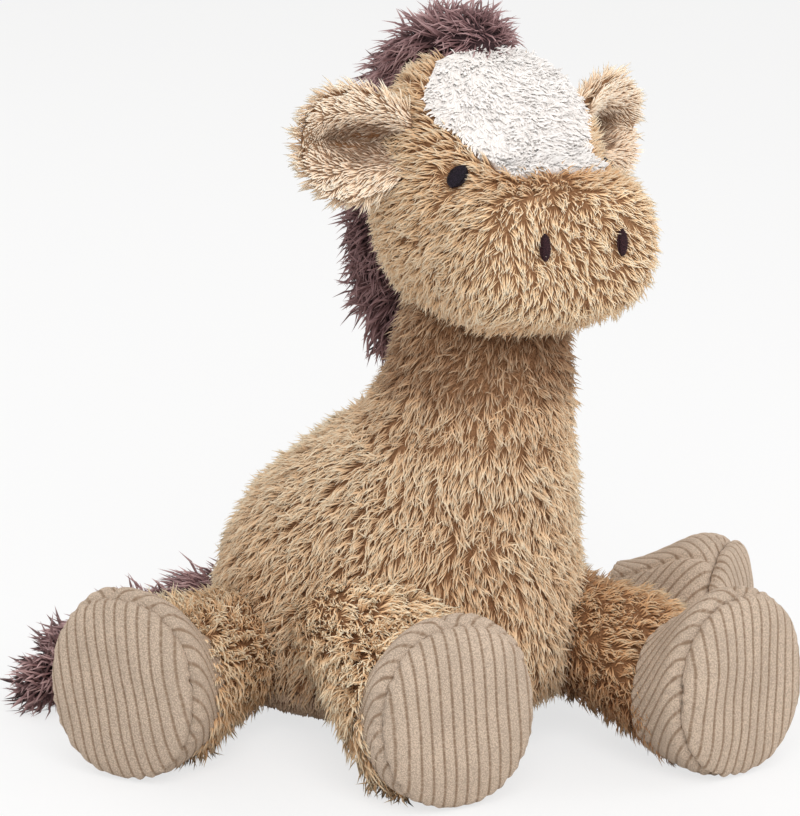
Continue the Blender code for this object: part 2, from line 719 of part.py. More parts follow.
# The tail lies along +X from its root, in the tail pivot's frame, and sinks to the floor.
def tail_rings():
    rings = []
    for along, size, sunk in TAIL_RING_SHARES:
        radius = TAIL_RADIUS * size
        drop = blend(0.0, TAIL_ROOT_HEIGHT - radius + FLOOR_CUT, sunk)
        centre = Vector((TAIL_LENGTH * along, -TAIL_BOW * math.sin(math.pi * max(along, 0.0)), -drop))
        rings.append(ring(centre, Vector((0, radius, 0)), Vector((0, 0, radius))))
    return rings


def build_tail(body_form, body_pieces):
    start = Vector((0, BODY_LENGTH, TAIL_ROOT_HEIGHT))
    place, _ = surface_point(body_form, start, Vector((0, -1, 0)))
    turn = Matrix.Rotation(TAIL_HEADING, 4, "Z")
    pivot = add_empty("tail_root", place + Vector((0, TAIL_STANDOFF, 0)), turn)
    tail = soft_form("tail", tail_rings(), TAIL_SIDES, pivot)
    pocket = swing_cutter(
        "tail_pocket",
        [tail],
        pivot,
        "Z",
        (-TAIL_SWING, 0.0),
        lambda point: point.x < TAIL_POCKET_REACH,
    )
    for piece in body_pieces:
        boolean(piece, pocket)
    boolean(tail, FLOOR)
    dress(tail, DARK_FUR)


def main():
    form = soft_form("body_form", body_rings(), BODY_SIDES, cutter=True)
    cover, panel, stuffing = build_body()
    for name, hip in LEG_PLACE_SHARES.items():
        build_leg(name, hip, (cover, panel, stuffing))
    build_pellet_bag(stuffing)
    build_head(form)
    build_tail(form, (cover, panel, stuffing))


main()
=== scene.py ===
# Seated plush horse: stuffed skins under a combed pile, corduroy hooves and an embroidered face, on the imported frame.
import json
import math

import bmesh
import bpy
import numpy as np
from mathutils import Matrix, Vector, noise
from mathutils.bvhtree import BVHTree

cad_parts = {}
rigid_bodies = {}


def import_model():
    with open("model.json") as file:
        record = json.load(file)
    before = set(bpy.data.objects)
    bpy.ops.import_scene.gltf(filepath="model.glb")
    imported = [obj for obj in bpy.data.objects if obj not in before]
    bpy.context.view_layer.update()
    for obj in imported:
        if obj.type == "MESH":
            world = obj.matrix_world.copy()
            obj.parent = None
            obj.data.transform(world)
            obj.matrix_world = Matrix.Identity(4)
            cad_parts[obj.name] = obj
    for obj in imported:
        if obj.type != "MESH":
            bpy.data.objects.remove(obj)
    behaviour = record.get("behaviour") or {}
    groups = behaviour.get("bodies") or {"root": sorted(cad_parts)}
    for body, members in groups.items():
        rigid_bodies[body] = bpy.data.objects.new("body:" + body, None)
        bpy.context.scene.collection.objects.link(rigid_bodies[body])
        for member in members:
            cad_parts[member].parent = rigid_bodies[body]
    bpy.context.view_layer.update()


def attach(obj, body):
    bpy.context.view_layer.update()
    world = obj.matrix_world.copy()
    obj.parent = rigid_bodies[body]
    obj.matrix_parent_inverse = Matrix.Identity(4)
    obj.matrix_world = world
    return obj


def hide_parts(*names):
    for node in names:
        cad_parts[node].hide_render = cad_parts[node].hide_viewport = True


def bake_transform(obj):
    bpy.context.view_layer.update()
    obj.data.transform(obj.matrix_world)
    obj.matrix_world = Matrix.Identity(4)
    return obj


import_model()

scene = bpy.context.scene
horse = bpy.data.collections.new("plushHorse")
scene.collection.children.link(horse)


# Small helpers for meshes.
def addMesh(name, vertices, faces, smooth=True):
    mesh = bpy.data.meshes.new(name)
    mesh.from_pydata([tuple(v) for v in vertices], [], [tuple(f) for f in faces])
    mesh.update()
    piece = bpy.data.objects.new(name, mesh)
    horse.objects.link(piece)
    if smooth:
        mesh.shade_smooth()
    return piece


def faceOutward(piece, weld=True):
    bm = bmesh.new()
    bm.from_mesh(piece.data)
    if weld:
        bmesh.ops.remove_doubles(bm, verts=bm.verts, dist=0.00001)
    bmesh.ops.recalc_face_normals(bm, faces=bm.faces)
    bm.to_mesh(piece.data)
    bm.free()
    piece.data.shade_smooth()


def freeze(piece):  # modifiers become the plain mesh
    bpy.context.view_layer.update()
    graph = bpy.context.evaluated_depsgraph_get()
    mesh = bpy.data.meshes.new_from_object(piece.evaluated_get(graph), depsgraph=graph)
    old = piece.data
    piece.modifiers.clear()
    piece.data = mesh
    mesh.name = piece.name
    if old.users == 0:
        bpy.data.meshes.remove(old)
    return piece


def points(piece):
    flat = np.empty(len(piece.data.vertices) * 3)
    piece.data.vertices.foreach_get("co", flat)
    return flat.reshape(-1, 3)


def setPoints(piece, places):
    piece.data.vertices.foreach_set("co", np.ascontiguousarray(places, dtype=np.float32).ravel())
    piece.data.update()


floorGap = {"pile": 0.0002, "hoof": 0.0003, "skin": 0.0004, "tail": 0.0006}


def keepAbove(piece, height):  # what would sink through the floor lies flat on it
    places = points(piece)
    places[:, 2] = np.maximum(places[:, 2], height)
    setPoints(piece, places)


def thicken(piece, wall):  # an open sheet gets its inner face and its rim
    solid = piece.modifiers.new("wall", "SOLIDIFY")
    solid.thickness, solid.offset = wall, -1.0
    freeze(piece)
    piece.data.shade_smooth()


def mix(a, b, share):
    return a + (b - a) * share


def signedPower(value, power):
    return math.copysign(abs(value) ** power, value)


def smoothStep(low, high, value):
    t = min(max((value - low) / (high - low), 0.0), 1.0)
    return t * t * (3 - 2 * t)


# Rings of (centre, across, up, squareness, narrowing) become one smooth closed form, drawn in by an inset.
def ringForm(name, rings, sides, place, inset=0.0, levels=2):
    swell = 1.0 / math.cos(math.pi / sides)
    vertices, faces = [], []
    for centre, across, up, squareness, narrowing in rings:
        for index in range(sides):
            angle = math.tau * index / sides
            x = signedPower(math.cos(angle), 2 / squareness)
            y = signedPower(math.sin(angle), 2 / squareness)
            vertices.append(place @ (centre + across * (x * (1 + narrowing * y) * swell) + up * (y * swell)))
    for row in range(len(rings) - 1):
        for index in range(sides):
            after = (index + 1) % sides
            a, b = row * sides, (row + 1) * sides
            faces.append((a + index, a + after, b + after, b + index))
    faces.append(range(sides))
    faces.append(range((len(rings) - 1) * sides, len(rings) * sides))
    piece = addMesh(name, vertices, faces)
    faceOutward(piece)
    soften = piece.modifiers.new("soften", "SUBSURF")
    soften.levels = soften.render_levels = levels
    if inset:
        drawIn = piece.modifiers.new("drawIn", "DISPLACE")
        drawIn.strength = -inset
        drawIn.mid_level = 0.0
    return freeze(piece)


# Small helpers for node trees.
def feed(tree, socket, value):
    if isinstance(value, bpy.types.NodeSocket):
        tree.links.new(value, socket)
    else:
        socket.default_value = value


def put(tree, kind, inputs=None, **settings):
    node = tree.nodes.new(kind)
    for key, value in settings.items():
        setattr(node, key, value)
    for key, value in (inputs or {}).items():
        feed(tree, node.inputs[key], value)
    return node


def calc(tree, operation, *values, clamp=False):
    node = put(tree, "ShaderNodeMath", dict(enumerate(values)), operation=operation, use_clamp=clamp)
    return node.outputs[0]


def plus(tree, first, second, clamp=False):
    return calc(tree, "ADD", first, second, clamp=clamp)


def less(tree, first, second):
    return calc(tree, "SUBTRACT", first, second)


def times(tree, first, second):
    return calc(tree, "MULTIPLY", first, second)


def over(tree, first, second):
    return calc(tree, "DIVIDE", first, second)


def keep(tree, geometry, name, value, kind="FLOAT", domain="POINT"):
    inputs = {"Geometry": geometry, "Name": name, "Value": value}
    return put(tree, "GeometryNodeStoreNamedAttribute", inputs, data_type=kind, domain=domain)


def vec(tree, operation, *values):
    node = put(tree, "ShaderNodeVectorMath", operation=operation)
    if operation == "SCALE":
        feed(tree, node.inputs[0], values[0])
        feed(tree, node.inputs["Scale"], values[1])
        return node.outputs[0]
    for socket, value in zip(node.inputs, values):
        feed(tree, socket, value)
    return node.outputs["Value"] if operation in ("LENGTH", "DOT_PRODUCT", "DISTANCE") else node.outputs[0]


def named(tree, name, kind="FLOAT"):
    return put(tree, "GeometryNodeInputNamedAttribute", {"Name": name}, data_type=kind).outputs["Attribute"]


def newGeometryTree(name, inputs):
    tree = bpy.data.node_groups.new(name, "GeometryNodeTree")
    tree.interface.new_socket("Geometry", in_out="INPUT", socket_type="NodeSocketGeometry")
    for label, kind, value in inputs:
        socket = tree.interface.new_socket(label, in_out="INPUT", socket_type=kind)
        if value is not None:
            socket.default_value = value
    tree.interface.new_socket("Geometry", in_out="OUTPUT", socket_type="NodeSocketGeometry")
    return tree, put(tree, "NodeGroupInput"), put(tree, "NodeGroupOutput")


def runTree(piece, tree, values):  # the tree's result as a plain mesh
    modifier = piece.modifiers.new(tree.name, "NODES")
    modifier.node_group = tree
    identifiers = {s.name: s.identifier for s in tree.interface.items_tree if s.in_out == "INPUT"}
    for label, value in values.items():
        modifier[identifiers[label]] = value
    freeze(piece)
    piece.data.materials.clear()
    piece.data.materials.append(values["Finish"])
    piece.data.polygons.foreach_set("material_index", np.zeros(len(piece.data.polygons), dtype=np.int32))
    return piece


# Pile: locks of fibre rooted on a skin, combed, clumped and bent over.
pileStrips = 24  # tints side by side in the pile's UV map


def buildPileTree():
    tree, given, result = newGeometryTree("pile", (
        ("Spacing", "NodeSocketFloat", 0.001),
        ("Density", "NodeSocketFloat", 700000.0),
        ("Length", "NodeSocketFloat", 0.009),
        ("Slimness", "NodeSocketFloat", 0.09),
        ("Lean", "NodeSocketFloat", 0.9),
        ("Bend", "NodeSocketFloat", 0.25),
        ("Clump Size", "NodeSocketFloat", 0.009),
        ("Clump Pull", "NodeSocketFloat", 0.6),
        ("Wildness", "NodeSocketFloat", 0.3),
        ("Unevenness", "NodeSocketFloat", 0.3),
        ("Softness", "NodeSocketFloat", 0.6),
        ("Seed", "NodeSocketInt", 1),
        ("Finish", "NodeSocketMaterial", None),
    ))
    g = given.outputs
    spread = put(tree, "GeometryNodeDistributePointsOnFaces", distribute_method="POISSON")
    for label, source in (("Mesh", g["Geometry"]), ("Distance Min", g["Spacing"]), ("Density Max", g["Density"]),
                          ("Density Factor", named(tree, "cover")), ("Seed", g["Seed"])):
        tree.links.new(source, spread.inputs[label])
    place = put(tree, "GeometryNodeInputPosition").outputs[0]
    # clumps: every lock leans toward the middle of its cell
    wander = put(tree, "ShaderNodeTexNoise", {"Vector": place, "Scale": 55.0, "Detail": 1.0})
    wandered = vec(tree, "ADD", place, vec(tree, "SCALE", vec(tree, "SUBTRACT", wander.outputs["Color"], (0.5, 0.5, 0.5)),
                                           0.012))
    cells = put(tree, "ShaderNodeTexVoronoi",
                {"Vector": wandered, "Scale": over(tree, 1.0, g["Clump Size"]), "Randomness": 1.0})
    toMiddle = vec(tree, "SUBTRACT", cells.outputs["Position"], wandered)
    pull = vec(tree, "SCALE", toMiddle, over(tree, g["Clump Pull"], g["Length"]))
    # comb direction between the surface's normal and the laid comb
    upright = vec(tree, "SCALE", spread.outputs["Normal"], calc(tree, "COSINE", g["Lean"]))
    laid = vec(tree, "SCALE", named(tree, "comb", "FLOAT_VECTOR"), calc(tree, "SINE", g["Lean"]))
    stray = put(tree, "FunctionNodeRandomValue", {0: (-1.0, -1.0, -1.0), 1: (1.0, 1.0, 1.0), "Seed": g["Seed"]},
                data_type="FLOAT_VECTOR").outputs[0]
    sway = put(tree, "ShaderNodeTexNoise", {"Vector": place, "Scale": 38.0, "Detail": 1.0})
    swayed = vec(tree, "SCALE", vec(tree, "SUBTRACT", sway.outputs["Color"], (0.5, 0.5, 0.5)), 2.7)
    # each clump leans its own way
    ownWay = vec(tree, "SCALE", vec(tree, "SUBTRACT", cells.outputs["Color"], (0.5, 0.5, 0.5)), 1.0)
    wild = vec(tree, "SCALE", vec(tree, "ADD", vec(tree, "ADD", stray, swayed), ownWay), g["Wildness"])
    heading = vec(tree, "ADD", vec(tree, "ADD", upright, laid), vec(tree, "ADD", pull, wild))
    lifted = vec(tree, "ADD", vec(tree, "NORMALIZE", heading), vec(tree, "SCALE", spread.outputs["Normal"], 0.12))
    aim = put(tree, "FunctionNodeAlignRotationToVector", {"Vector": lifted}, axis="Z")
    aside = vec(tree, "ADD", spread.outputs["Normal"], vec(tree, "SCALE", stray, 0.5))
    turn = put(tree, "FunctionNodeAlignRotationToVector", {"Rotation": aim.outputs[0], "Vector": aside}, axis="X",
               pivot_axis="Z")
    # size of each lock
    chance = put(tree, "FunctionNodeRandomValue", {2: 0.0, 3: 1.0, "Seed": plus(tree, g["Seed"], 7)},
                 data_type="FLOAT").outputs[1]
    cellChance = put(tree, "FunctionNodeSeparateColor", {"Color": cells.outputs["Color"]}).outputs[0]
    uneven = times(tree, g["Unevenness"], less(tree, plus(tree, chance, times(tree, cellChance, 0.5)), 0.85))
    size = times(tree, times(tree, g["Length"], named(tree, "pile")), plus(tree, 1.0, uneven))
    girth = put(tree, "FunctionNodeRandomValue", {2: 0.75, 3: 1.3, "Seed": plus(tree, g["Seed"], 13)},
                data_type="FLOAT").outputs[1]
    scaleXyz = put(tree, "ShaderNodeCombineXYZ", {"X": times(tree, size, girth), "Y": times(tree, size, girth), "Z": size})
    # one lock: a slim three-sided tuft, full almost to its blunt tip, that bends over
    spike = put(tree, "GeometryNodeMeshCone",
                {"Vertices": 3, "Side Segments": 2, "Radius Top": 0.0, "Radius Bottom": g["Slimness"], "Depth": 1.0},
                fill_type="NONE")
    spot = put(tree, "ShaderNodeSeparateXYZ", {"Vector": place})
    low = spot.outputs["Z"]
    hump = times(tree, low, less(tree, 1.0, low))
    along = plus(tree, low, times(tree, hump, 0.72))
    belly = plus(tree, 0.8, times(tree, hump, 4.6))
    bent = times(tree, times(tree, along, along), g["Bend"])
    narrow = times(tree, spot.outputs["X"], belly)
    curved = put(tree, "ShaderNodeCombineXYZ", {
        "X": less(tree, narrow, bent), "Y": times(tree, spot.outputs["Y"], belly), "Z": along})
    across = plus(tree, 0.5, times(tree, over(tree, spot.outputs["Y"], g["Slimness"]), 0.5))
    keptAcross = keep(tree, spike.outputs["Mesh"], "across", across)
    keptAlong = keep(tree, keptAcross.outputs[0], "along", along)
    shaped = put(tree, "GeometryNodeSetPosition", {"Geometry": keptAlong.outputs[0], "Position": curved.outputs[0]})
    smooth = put(tree, "GeometryNodeSetShadeSmooth", {"Geometry": shaped.outputs[0]})
    rooted = put(tree, "GeometryNodeInstanceOnPoints", {
        "Points": spread.outputs["Points"], "Instance": smooth.outputs[0],
        "Rotation": turn.outputs[0], "Scale": scaleXyz.outputs[0]})
    # tint of each lock, from itself, its clump and slow patches
    patches = put(tree, "ShaderNodeTexNoise", {"Vector": place, "Scale": 26.0, "Detail": 2.0}).outputs["Fac"]
    tint = plus(tree, times(tree, chance, 0.45),
                plus(tree, times(tree, cellChance, 0.30), times(tree, less(tree, patches, 0.35), 0.85)), clamp=True)
    # the skin's shade value paints shade by drawing a lock's tint toward the deep tones, and paints light where it is
    # negative
    pale = plus(tree, 0.30, times(tree, tint, 0.70))
    deep = plus(tree, 0.04, times(tree, tint, 0.22))
    shaded = plus(tree, pale, times(tree, named(tree, "shade"), less(tree, deep, pale)), clamp=True)
    tinted = keep(tree, rooted.outputs[0], "tint", shaded, "FLOAT", "INSTANCE")
    ground = keep(tree, spread.outputs["Points"], "ground", spread.outputs["Normal"], "FLOAT_VECTOR", "POINT")
    tree.links.new(ground.outputs[0], rooted.inputs["Points"])
    real = put(tree, "GeometryNodeRealizeInstances", {"Geometry": tinted.outputs[0]})
    strip = calc(tree, "FLOOR", times(tree, named(tree, "tint"), pileStrips - 0.01))
    u = over(tree, plus(tree, strip, plus(tree, 0.15, times(tree, named(tree, "across"), 0.7))), float(pileStrips))
    uv = put(tree, "ShaderNodeCombineXYZ", {"X": u, "Y": named(tree, "along")})
    own = put(tree, "GeometryNodeInputNormal").outputs[0]
    eased = vec(tree, "NORMALIZE", vec(tree, "ADD", vec(tree, "SCALE", own, less(tree, 1.0, g["Softness"])),
                                       vec(tree, "SCALE", named(tree, "ground", "FLOAT_VECTOR"), g["Softness"])))
    soft = put(tree, "GeometryNodeSetMeshNormal", {"Mesh": real.outputs[0], "Custom Normal": eased}, mode="FREE",
               domain="POINT")
    mapped = keep(tree, soft.outputs[0], "OFBake", uv.outputs[0], "FLOAT2", "CORNER")
    finish = put(tree, "GeometryNodeSetMaterial", {"Geometry": mapped.outputs[0], "Material": g["Finish"]})
    tree.links.new(finish.outputs[0], result.inputs[0])
    return tree


pileTree = buildPileTree()


# Each skin vertex gets a comb direction, a share of the pile's length, whether it is covered and a shade value: painted
# shade where it is positive, painted light where it is negative, and in a few places the fur's own deeper tone.
def combSkin(skin, rule):
    mesh = skin.data
    count = len(mesh.vertices)
    combs, piles, covers, shades = np.zeros((count, 3)), np.ones(count), np.ones(count), np.zeros(count)
    for vertex in mesh.vertices:
        comb, pile, cover, shade = rule(vertex.co)
        flat = comb - vertex.normal * comb.dot(vertex.normal)
        combs[vertex.index] = flat.normalized() if flat.length > 1e-6 else (0, 0, 0)
        piles[vertex.index], covers[vertex.index], shades[vertex.index] = pile, cover, shade
    mesh.attributes.new("comb", "FLOAT_VECTOR", "POINT").data.foreach_set("vector", combs.ravel())
    mesh.attributes.new("pile", "FLOAT", "POINT").data.foreach_set("value", piles)
    mesh.attributes.new("cover", "FLOAT", "POINT").data.foreach_set("value", covers)
    mesh.attributes.new("shade", "FLOAT", "POINT").data.foreach_set("value", shades)


def growPile(name, skin, settings, finish, region=None):
    base = bpy.data.objects.new(name, skin.data.copy())
    horse.objects.link(base)
    if region is not None:
        cover = base.data.attributes["cover"].data
        for vertex in base.data.vertices:
            cover[vertex.index].value *= region(vertex.co)
    values = {label: value for label, value in settings.items() if label[0].isupper()}
    values["Finish"] = finish
    runTree(base, pileTree, values)
    for label in ("comb", "pile", "cover", "shade", "tint", "across", "along", "ground"):
        if label in base.data.attributes:
            base.data.attributes.remove(base.data.attributes[label])
    keepAbove(base, floorGap["pile"])
    return base


def treeOf(piece):
    graph = bpy.context.evaluated_depsgraph_get()
    return BVHTree.FromObject(piece, graph)


def depthIn(tree, place):  # how deep a point lies inside a closed skin, negative outside
    near, normal, _, distance = tree.find_nearest(place)
    return distance if (place - near).dot(normal) < 0 else -distance


# Finishes.
def newGroup(name, inputs, outputs):
    tree = bpy.data.node_groups.new(name, "ShaderNodeTree")
    for label, kind, value in inputs:
        socket = tree.interface.new_socket(label, in_out="INPUT", socket_type=kind)
        socket.default_value = value
    for label, kind in outputs:
        tree.interface.new_socket(label, in_out="OUTPUT", socket_type=kind)
    return tree, put(tree, "NodeGroupInput"), put(tree, "NodeGroupOutput")


def mixColour(tree, share, first, second, kind="MIX"):
    node = put(tree, "ShaderNodeMix", data_type="RGBA", blend_type=kind)
    feed(tree, node.inputs[0], share)
    feed(tree, node.inputs[6], first)
    feed(tree, node.inputs[7], second)
    return node.outputs[2]


def ramp(tree, value, low, high):
    node = put(tree, "ShaderNodeMapRange", {"Value": value, "From Min": low, "From Max": high}, interpolation_type="SMOOTHSTEP")
    return node.outputs["Result"]


# Colour along a lock from root to tip, with the tint of the lock. The lowest tints are multiplied by the deep colour,
# which paints shade where the skin's shade value is high and gives the fur a deeper tone elsewhere.
def buildFibreGroup():
    tree, given, result = newGroup("fibreColour", (
        ("Root", "NodeSocketColor", (0.1, 0.06, 0.03, 1)),
        ("Middle", "NodeSocketColor", (0.4, 0.28, 0.17, 1)),
        ("Tip", "NodeSocketColor", (0.7, 0.5, 0.3, 1)),
        ("Dull", "NodeSocketColor", (0.6, 0.6, 0.6, 1)),
        ("ShadeAndDeepTone", "NodeSocketColor", (0.5, 0.4, 0.35, 1)),
        ("Root Reach", "NodeSocketFloat", 0.45),
    ), (("Color", "NodeSocketColor"),))
    g = given.outputs
    spot = put(tree, "ShaderNodeSeparateXYZ", {"Vector": put(tree, "ShaderNodeUVMap", uv_map="OFBake").outputs[0]})
    tint, along = spot.outputs["X"], spot.outputs["Y"]
    lower = mixColour(tree, ramp(tree, along, 0.0, g["Root Reach"]), g["Root"], g["Middle"])
    whole = mixColour(tree, ramp(tree, along, g["Root Reach"], 1.0), lower, g["Tip"])
    dulled = mixColour(tree, 1.0, whole, g["Dull"], "MULTIPLY")
    shadedAndDeepened = mixColour(tree, 1.0, whole, g["ShadeAndDeepTone"], "MULTIPLY")
    usual = mixColour(tree, ramp(tree, tint, 0.95, 0.36), whole, dulled)
    tree.links.new(mixColour(tree, ramp(tree, tint, 0.34, 0.08), usual, shadedAndDeepened), result.inputs["Color"])
    return tree


fibreColour = buildFibreGroup()


def newFinish(name, roughness, sheen=0.0, sheenTint=(1, 1, 1, 1)):
    material = bpy.data.materials.new(name)
    material.use_nodes = True
    shader = material.node_tree.nodes["Principled BSDF"]
    shader.inputs["Roughness"].default_value = roughness
    shader.inputs["Specular IOR Level"].default_value = 0.25
    shader.inputs["Sheen Weight"].default_value = sheen
    shader.inputs["Sheen Roughness"].default_value = 0.5
    shader.inputs["Sheen Tint"].default_value = sheenTint
    return material, material.node_tree, shader


def pileFinish(name, root, middle, tip, dull, deep, reach=0.45, sheen=0.12):
    material, tree, shader = newFinish(name, 0.85, sheen, tip)
    group = put(tree, "ShaderNodeGroup", node_tree=fibreColour)
    for label, value in (("Root", root), ("Middle", middle), ("Tip", tip), ("Dull", dull), ("ShadeAndDeepTone", deep),
                         ("Root Reach", reach)):
        group.inputs[label].default_value = value
    tree.links.new(group.outputs["Color"], shader.inputs["Base Color"])
    return material


# Backing cloth between the roots: a tight knit with slow patches.
def buildBackingGroup():
    tree, given, result = newGroup("backingCloth", (
        ("Light", "NodeSocketColor", (0.3, 0.2, 0.12, 1)),
        ("Dark", "NodeSocketColor", (0.1, 0.06, 0.03, 1)),
        ("Scale", "NodeSocketFloat", 900.0),
    ), (("Color", "NodeSocketColor"), ("Height", "NodeSocketFloat")))
    g = given.outputs
    place = put(tree, "ShaderNodeTexCoord").outputs["Object"]
    fine = put(tree, "ShaderNodeTexNoise", {"Vector": place, "Scale": g["Scale"], "Detail": 3.0}).outputs["Fac"]
    slow = put(tree, "ShaderNodeTexNoise", {"Vector": place, "Scale": 60.0, "Detail": 2.0}).outputs["Fac"]
    both = plus(tree, times(tree, fine, 0.6), times(tree, slow, 0.4))
    tree.links.new(mixColour(tree, ramp(tree, both, 0.35, 0.65), g["Dark"], g["Light"]), result.inputs["Color"])
    tree.links.new(fine, result.inputs["Height"])
    return tree


backingCloth = buildBackingGroup()


def clothFinish(name, light, dark, scale=900.0, roughness=0.9, sheen=0.2, depth=0.0006):
    material, tree, shader = newFinish(name, roughness, sheen, light)
    group = put(tree, "ShaderNodeGroup", node_tree=backingCloth)
    for label, value in (("Light", light), ("Dark", dark), ("Scale", scale)):
        group.inputs[label].default_value = value
    tree.links.new(group.outputs["Color"], shader.inputs["Base Color"])
    bump = put(tree, "ShaderNodeBump", {"Height": group.outputs["Height"], "Strength": 0.6, "Distance": depth})
    tree.links.new(bump.outputs[0], shader.inputs["Normal"])
    return material


# Corduroy: the piece's own wale map counts the ribs across in U and runs along them in V.
def corduroyFinish(name, light, dark):
    material, tree, shader = newFinish(name, 0.88, 0.35, light)
    spot = put(tree, "ShaderNodeSeparateXYZ", {"Vector": put(tree, "ShaderNodeUVMap", uv_map="wale").outputs[0]})
    fold = calc(tree, "ABSOLUTE", less(tree, calc(tree, "FRACT", spot.outputs["X"]), 0.5))  # 0.5 in a groove, 0 on a rib
    thread = put(tree, "ShaderNodeCombineXYZ",
                 {"X": calc(tree, "FLOOR", plus(tree, spot.outputs["X"], 0.5)), "Y": times(tree, spot.outputs["Y"], 4.4)})
    dots = put(tree, "ShaderNodeTexNoise", {"Vector": thread.outputs[0], "Scale": 1.3, "Detail": 1.0}).outputs["Fac"]
    groove = times(tree, ramp(tree, fold, 0.30, 0.47), plus(tree, 0.55, times(tree, ramp(tree, dots, 0.30, 0.60), 0.45)))
    place = put(tree, "ShaderNodeTexCoord").outputs["Object"]
    lint = put(tree, "ShaderNodeTexNoise", {"Vector": place, "Scale": 1500.0, "Detail": 3.0, "Roughness": 0.7}).outputs["Fac"]
    worn = put(tree, "ShaderNodeTexNoise", {"Vector": place, "Scale": 45.0, "Detail": 2.0}).outputs["Fac"]
    tufts = put(tree, "ShaderNodeTexVoronoi", {"Vector": place, "Scale": 1350.0, "Randomness": 1.0}).outputs["Distance"]
    shade = plus(tree, times(tree, lint, 0.55), plus(tree, times(tree, worn, 0.25), times(tree, less(tree, 0.7, tufts), 0.45)))
    top = mixColour(tree, ramp(tree, shade, 0.35, 0.70), tuple(c * 0.62 for c in light[:3]) + (1,), light)
    frayed = plus(tree, groove, times(tree, less(tree, lint, 0.5), 0.5), clamp=True)
    tree.links.new(mixColour(tree, frayed, top, dark), shader.inputs["Base Color"])
    height = plus(tree, times(tree, lint, 0.5), times(tree, less(tree, 1.0, tufts), 0.8))
    bump = put(tree, "ShaderNodeBump", {"Height": height, "Strength": 0.8, "Distance": 0.0008})
    tree.links.new(bump.outputs[0], shader.inputs["Normal"])
    return material


def threadFinish(name, light, dark, roughness):
    material, tree, shader = newFinish(name, roughness, 0.0, light)
    place = put(tree, "ShaderNodeTexCoord").outputs["Object"]
    strand = put(tree, "ShaderNodeTexNoise", {"Vector": place, "Scale": 1800.0, "Detail": 2.0}).outputs["Fac"]
    tree.links.new(mixColour(tree, ramp(tree, strand, 0.4, 0.65), dark, light), shader.inputs["Base Color"])
    bump = put(tree, "ShaderNodeBump", {"Height": strand, "Strength": 0.5, "Distance": 0.0003})
    tree.links.new(bump.outputs[0], shader.inputs["Normal"])
    return material


looks = (
    (pileFinish, {  # root, middle, tip, dull, deep (the colour of painted shade and of deeper tones) and how far the root's colour reaches
        "bodyPile": ((0.32, 0.165, 0.082, 1), (0.90, 0.625, 0.385, 1), (1.0, 0.90, 0.695, 1), (0.80, 0.73, 0.68, 1),
                     (0.32, 0.225, 0.175, 1), 0.50),
        "headPile": ((0.34, 0.172, 0.080, 1), (0.97, 0.685, 0.415, 1), (1.0, 0.925, 0.735, 1), (0.80, 0.72, 0.66, 1),
                     (0.66, 0.44, 0.28, 1), 0.50),
        "earPile": ((0.70, 0.52, 0.36, 1), (0.96, 0.75, 0.54, 1), (1.0, 0.93, 0.78, 1), (0.90, 0.84, 0.80, 1),
                    (0.5, 0.4, 0.32, 1), 0.40),
        "legPile": ((0.28, 0.130, 0.058, 1), (0.93, 0.61, 0.345, 1), (1.0, 0.90, 0.68, 1), (0.78, 0.68, 0.60, 1),
                    (0.42, 0.275, 0.20, 1), 0.50),
        "darkPile": ((0.056, 0.028, 0.030, 1), (0.26, 0.143, 0.142, 1), (0.69, 0.47, 0.46, 1), (0.62, 0.56, 0.58, 1),
                     (0.5, 0.45, 0.45, 1), 0.50),
        "whitePile": ((0.88, 0.81, 0.76, 1), (0.96, 0.92, 0.885, 1), (1.0, 0.96, 0.93, 1), (0.975, 0.955, 0.94, 1),
                      (0.94, 0.91, 0.89, 1), 0.3),
        "earNap": ((0.60, 0.40, 0.26, 1), (1.0, 0.80, 0.60, 1), (1.0, 0.95, 0.82, 1), (0.90, 0.83, 0.79, 1),
                   (0.25, 0.17, 0.13, 1), 0.35),
        "seatNap": ((0.16, 0.10, 0.065, 1), (0.50, 0.34, 0.23, 1), (0.74, 0.55, 0.40, 1), (0.80, 0.76, 0.74, 1),
                    (0.5, 0.45, 0.42, 1), 0.3),
    }),
    (clothFinish, {  # light and dark
        "bodyBacking": ((0.31, 0.160, 0.078, 1), (0.19, 0.092, 0.042, 1)),
        "darkBacking": ((0.06, 0.03, 0.032, 1), (0.025, 0.012, 0.014, 1)),
        "whiteBacking": ((0.93, 0.90, 0.88, 1), (0.84, 0.80, 0.77, 1)),
        "napBacking": ((0.36, 0.23, 0.14, 1), (0.22, 0.13, 0.08, 1)),
        "seatBacking": ((0.22, 0.14, 0.09, 1), (0.12, 0.07, 0.05, 1)),
    }),
    (corduroyFinish, {  # rib and groove
        "corduroy": ((0.70, 0.55, 0.425, 1), (0.28, 0.19, 0.125, 1)),
    }),
    (threadFinish, {  # light, dark and roughness
        "eyeThread": ((0.022, 0.014, 0.026, 1), (0.005, 0.003, 0.006, 1), 0.55),
        "nostrilThread": ((0.060, 0.022, 0.026, 1), (0.020, 0.008, 0.011, 1), 0.8),
    }),
)
finishes = {name: make(name, *values) for make, rows in looks for name, values in rows.items()}
print("finishes ready")

# Places of the bodies that pieces ride on.
nod = {"joint": (0, -0.074, 0.205), "tilt": math.radians(3), "chin": 0.202}
headPlace = Matrix.Translation(nod["joint"]) @ Matrix.Rotation(nod["tilt"], 4, "Y")
headBase = nod["chin"] - nod["joint"][2]


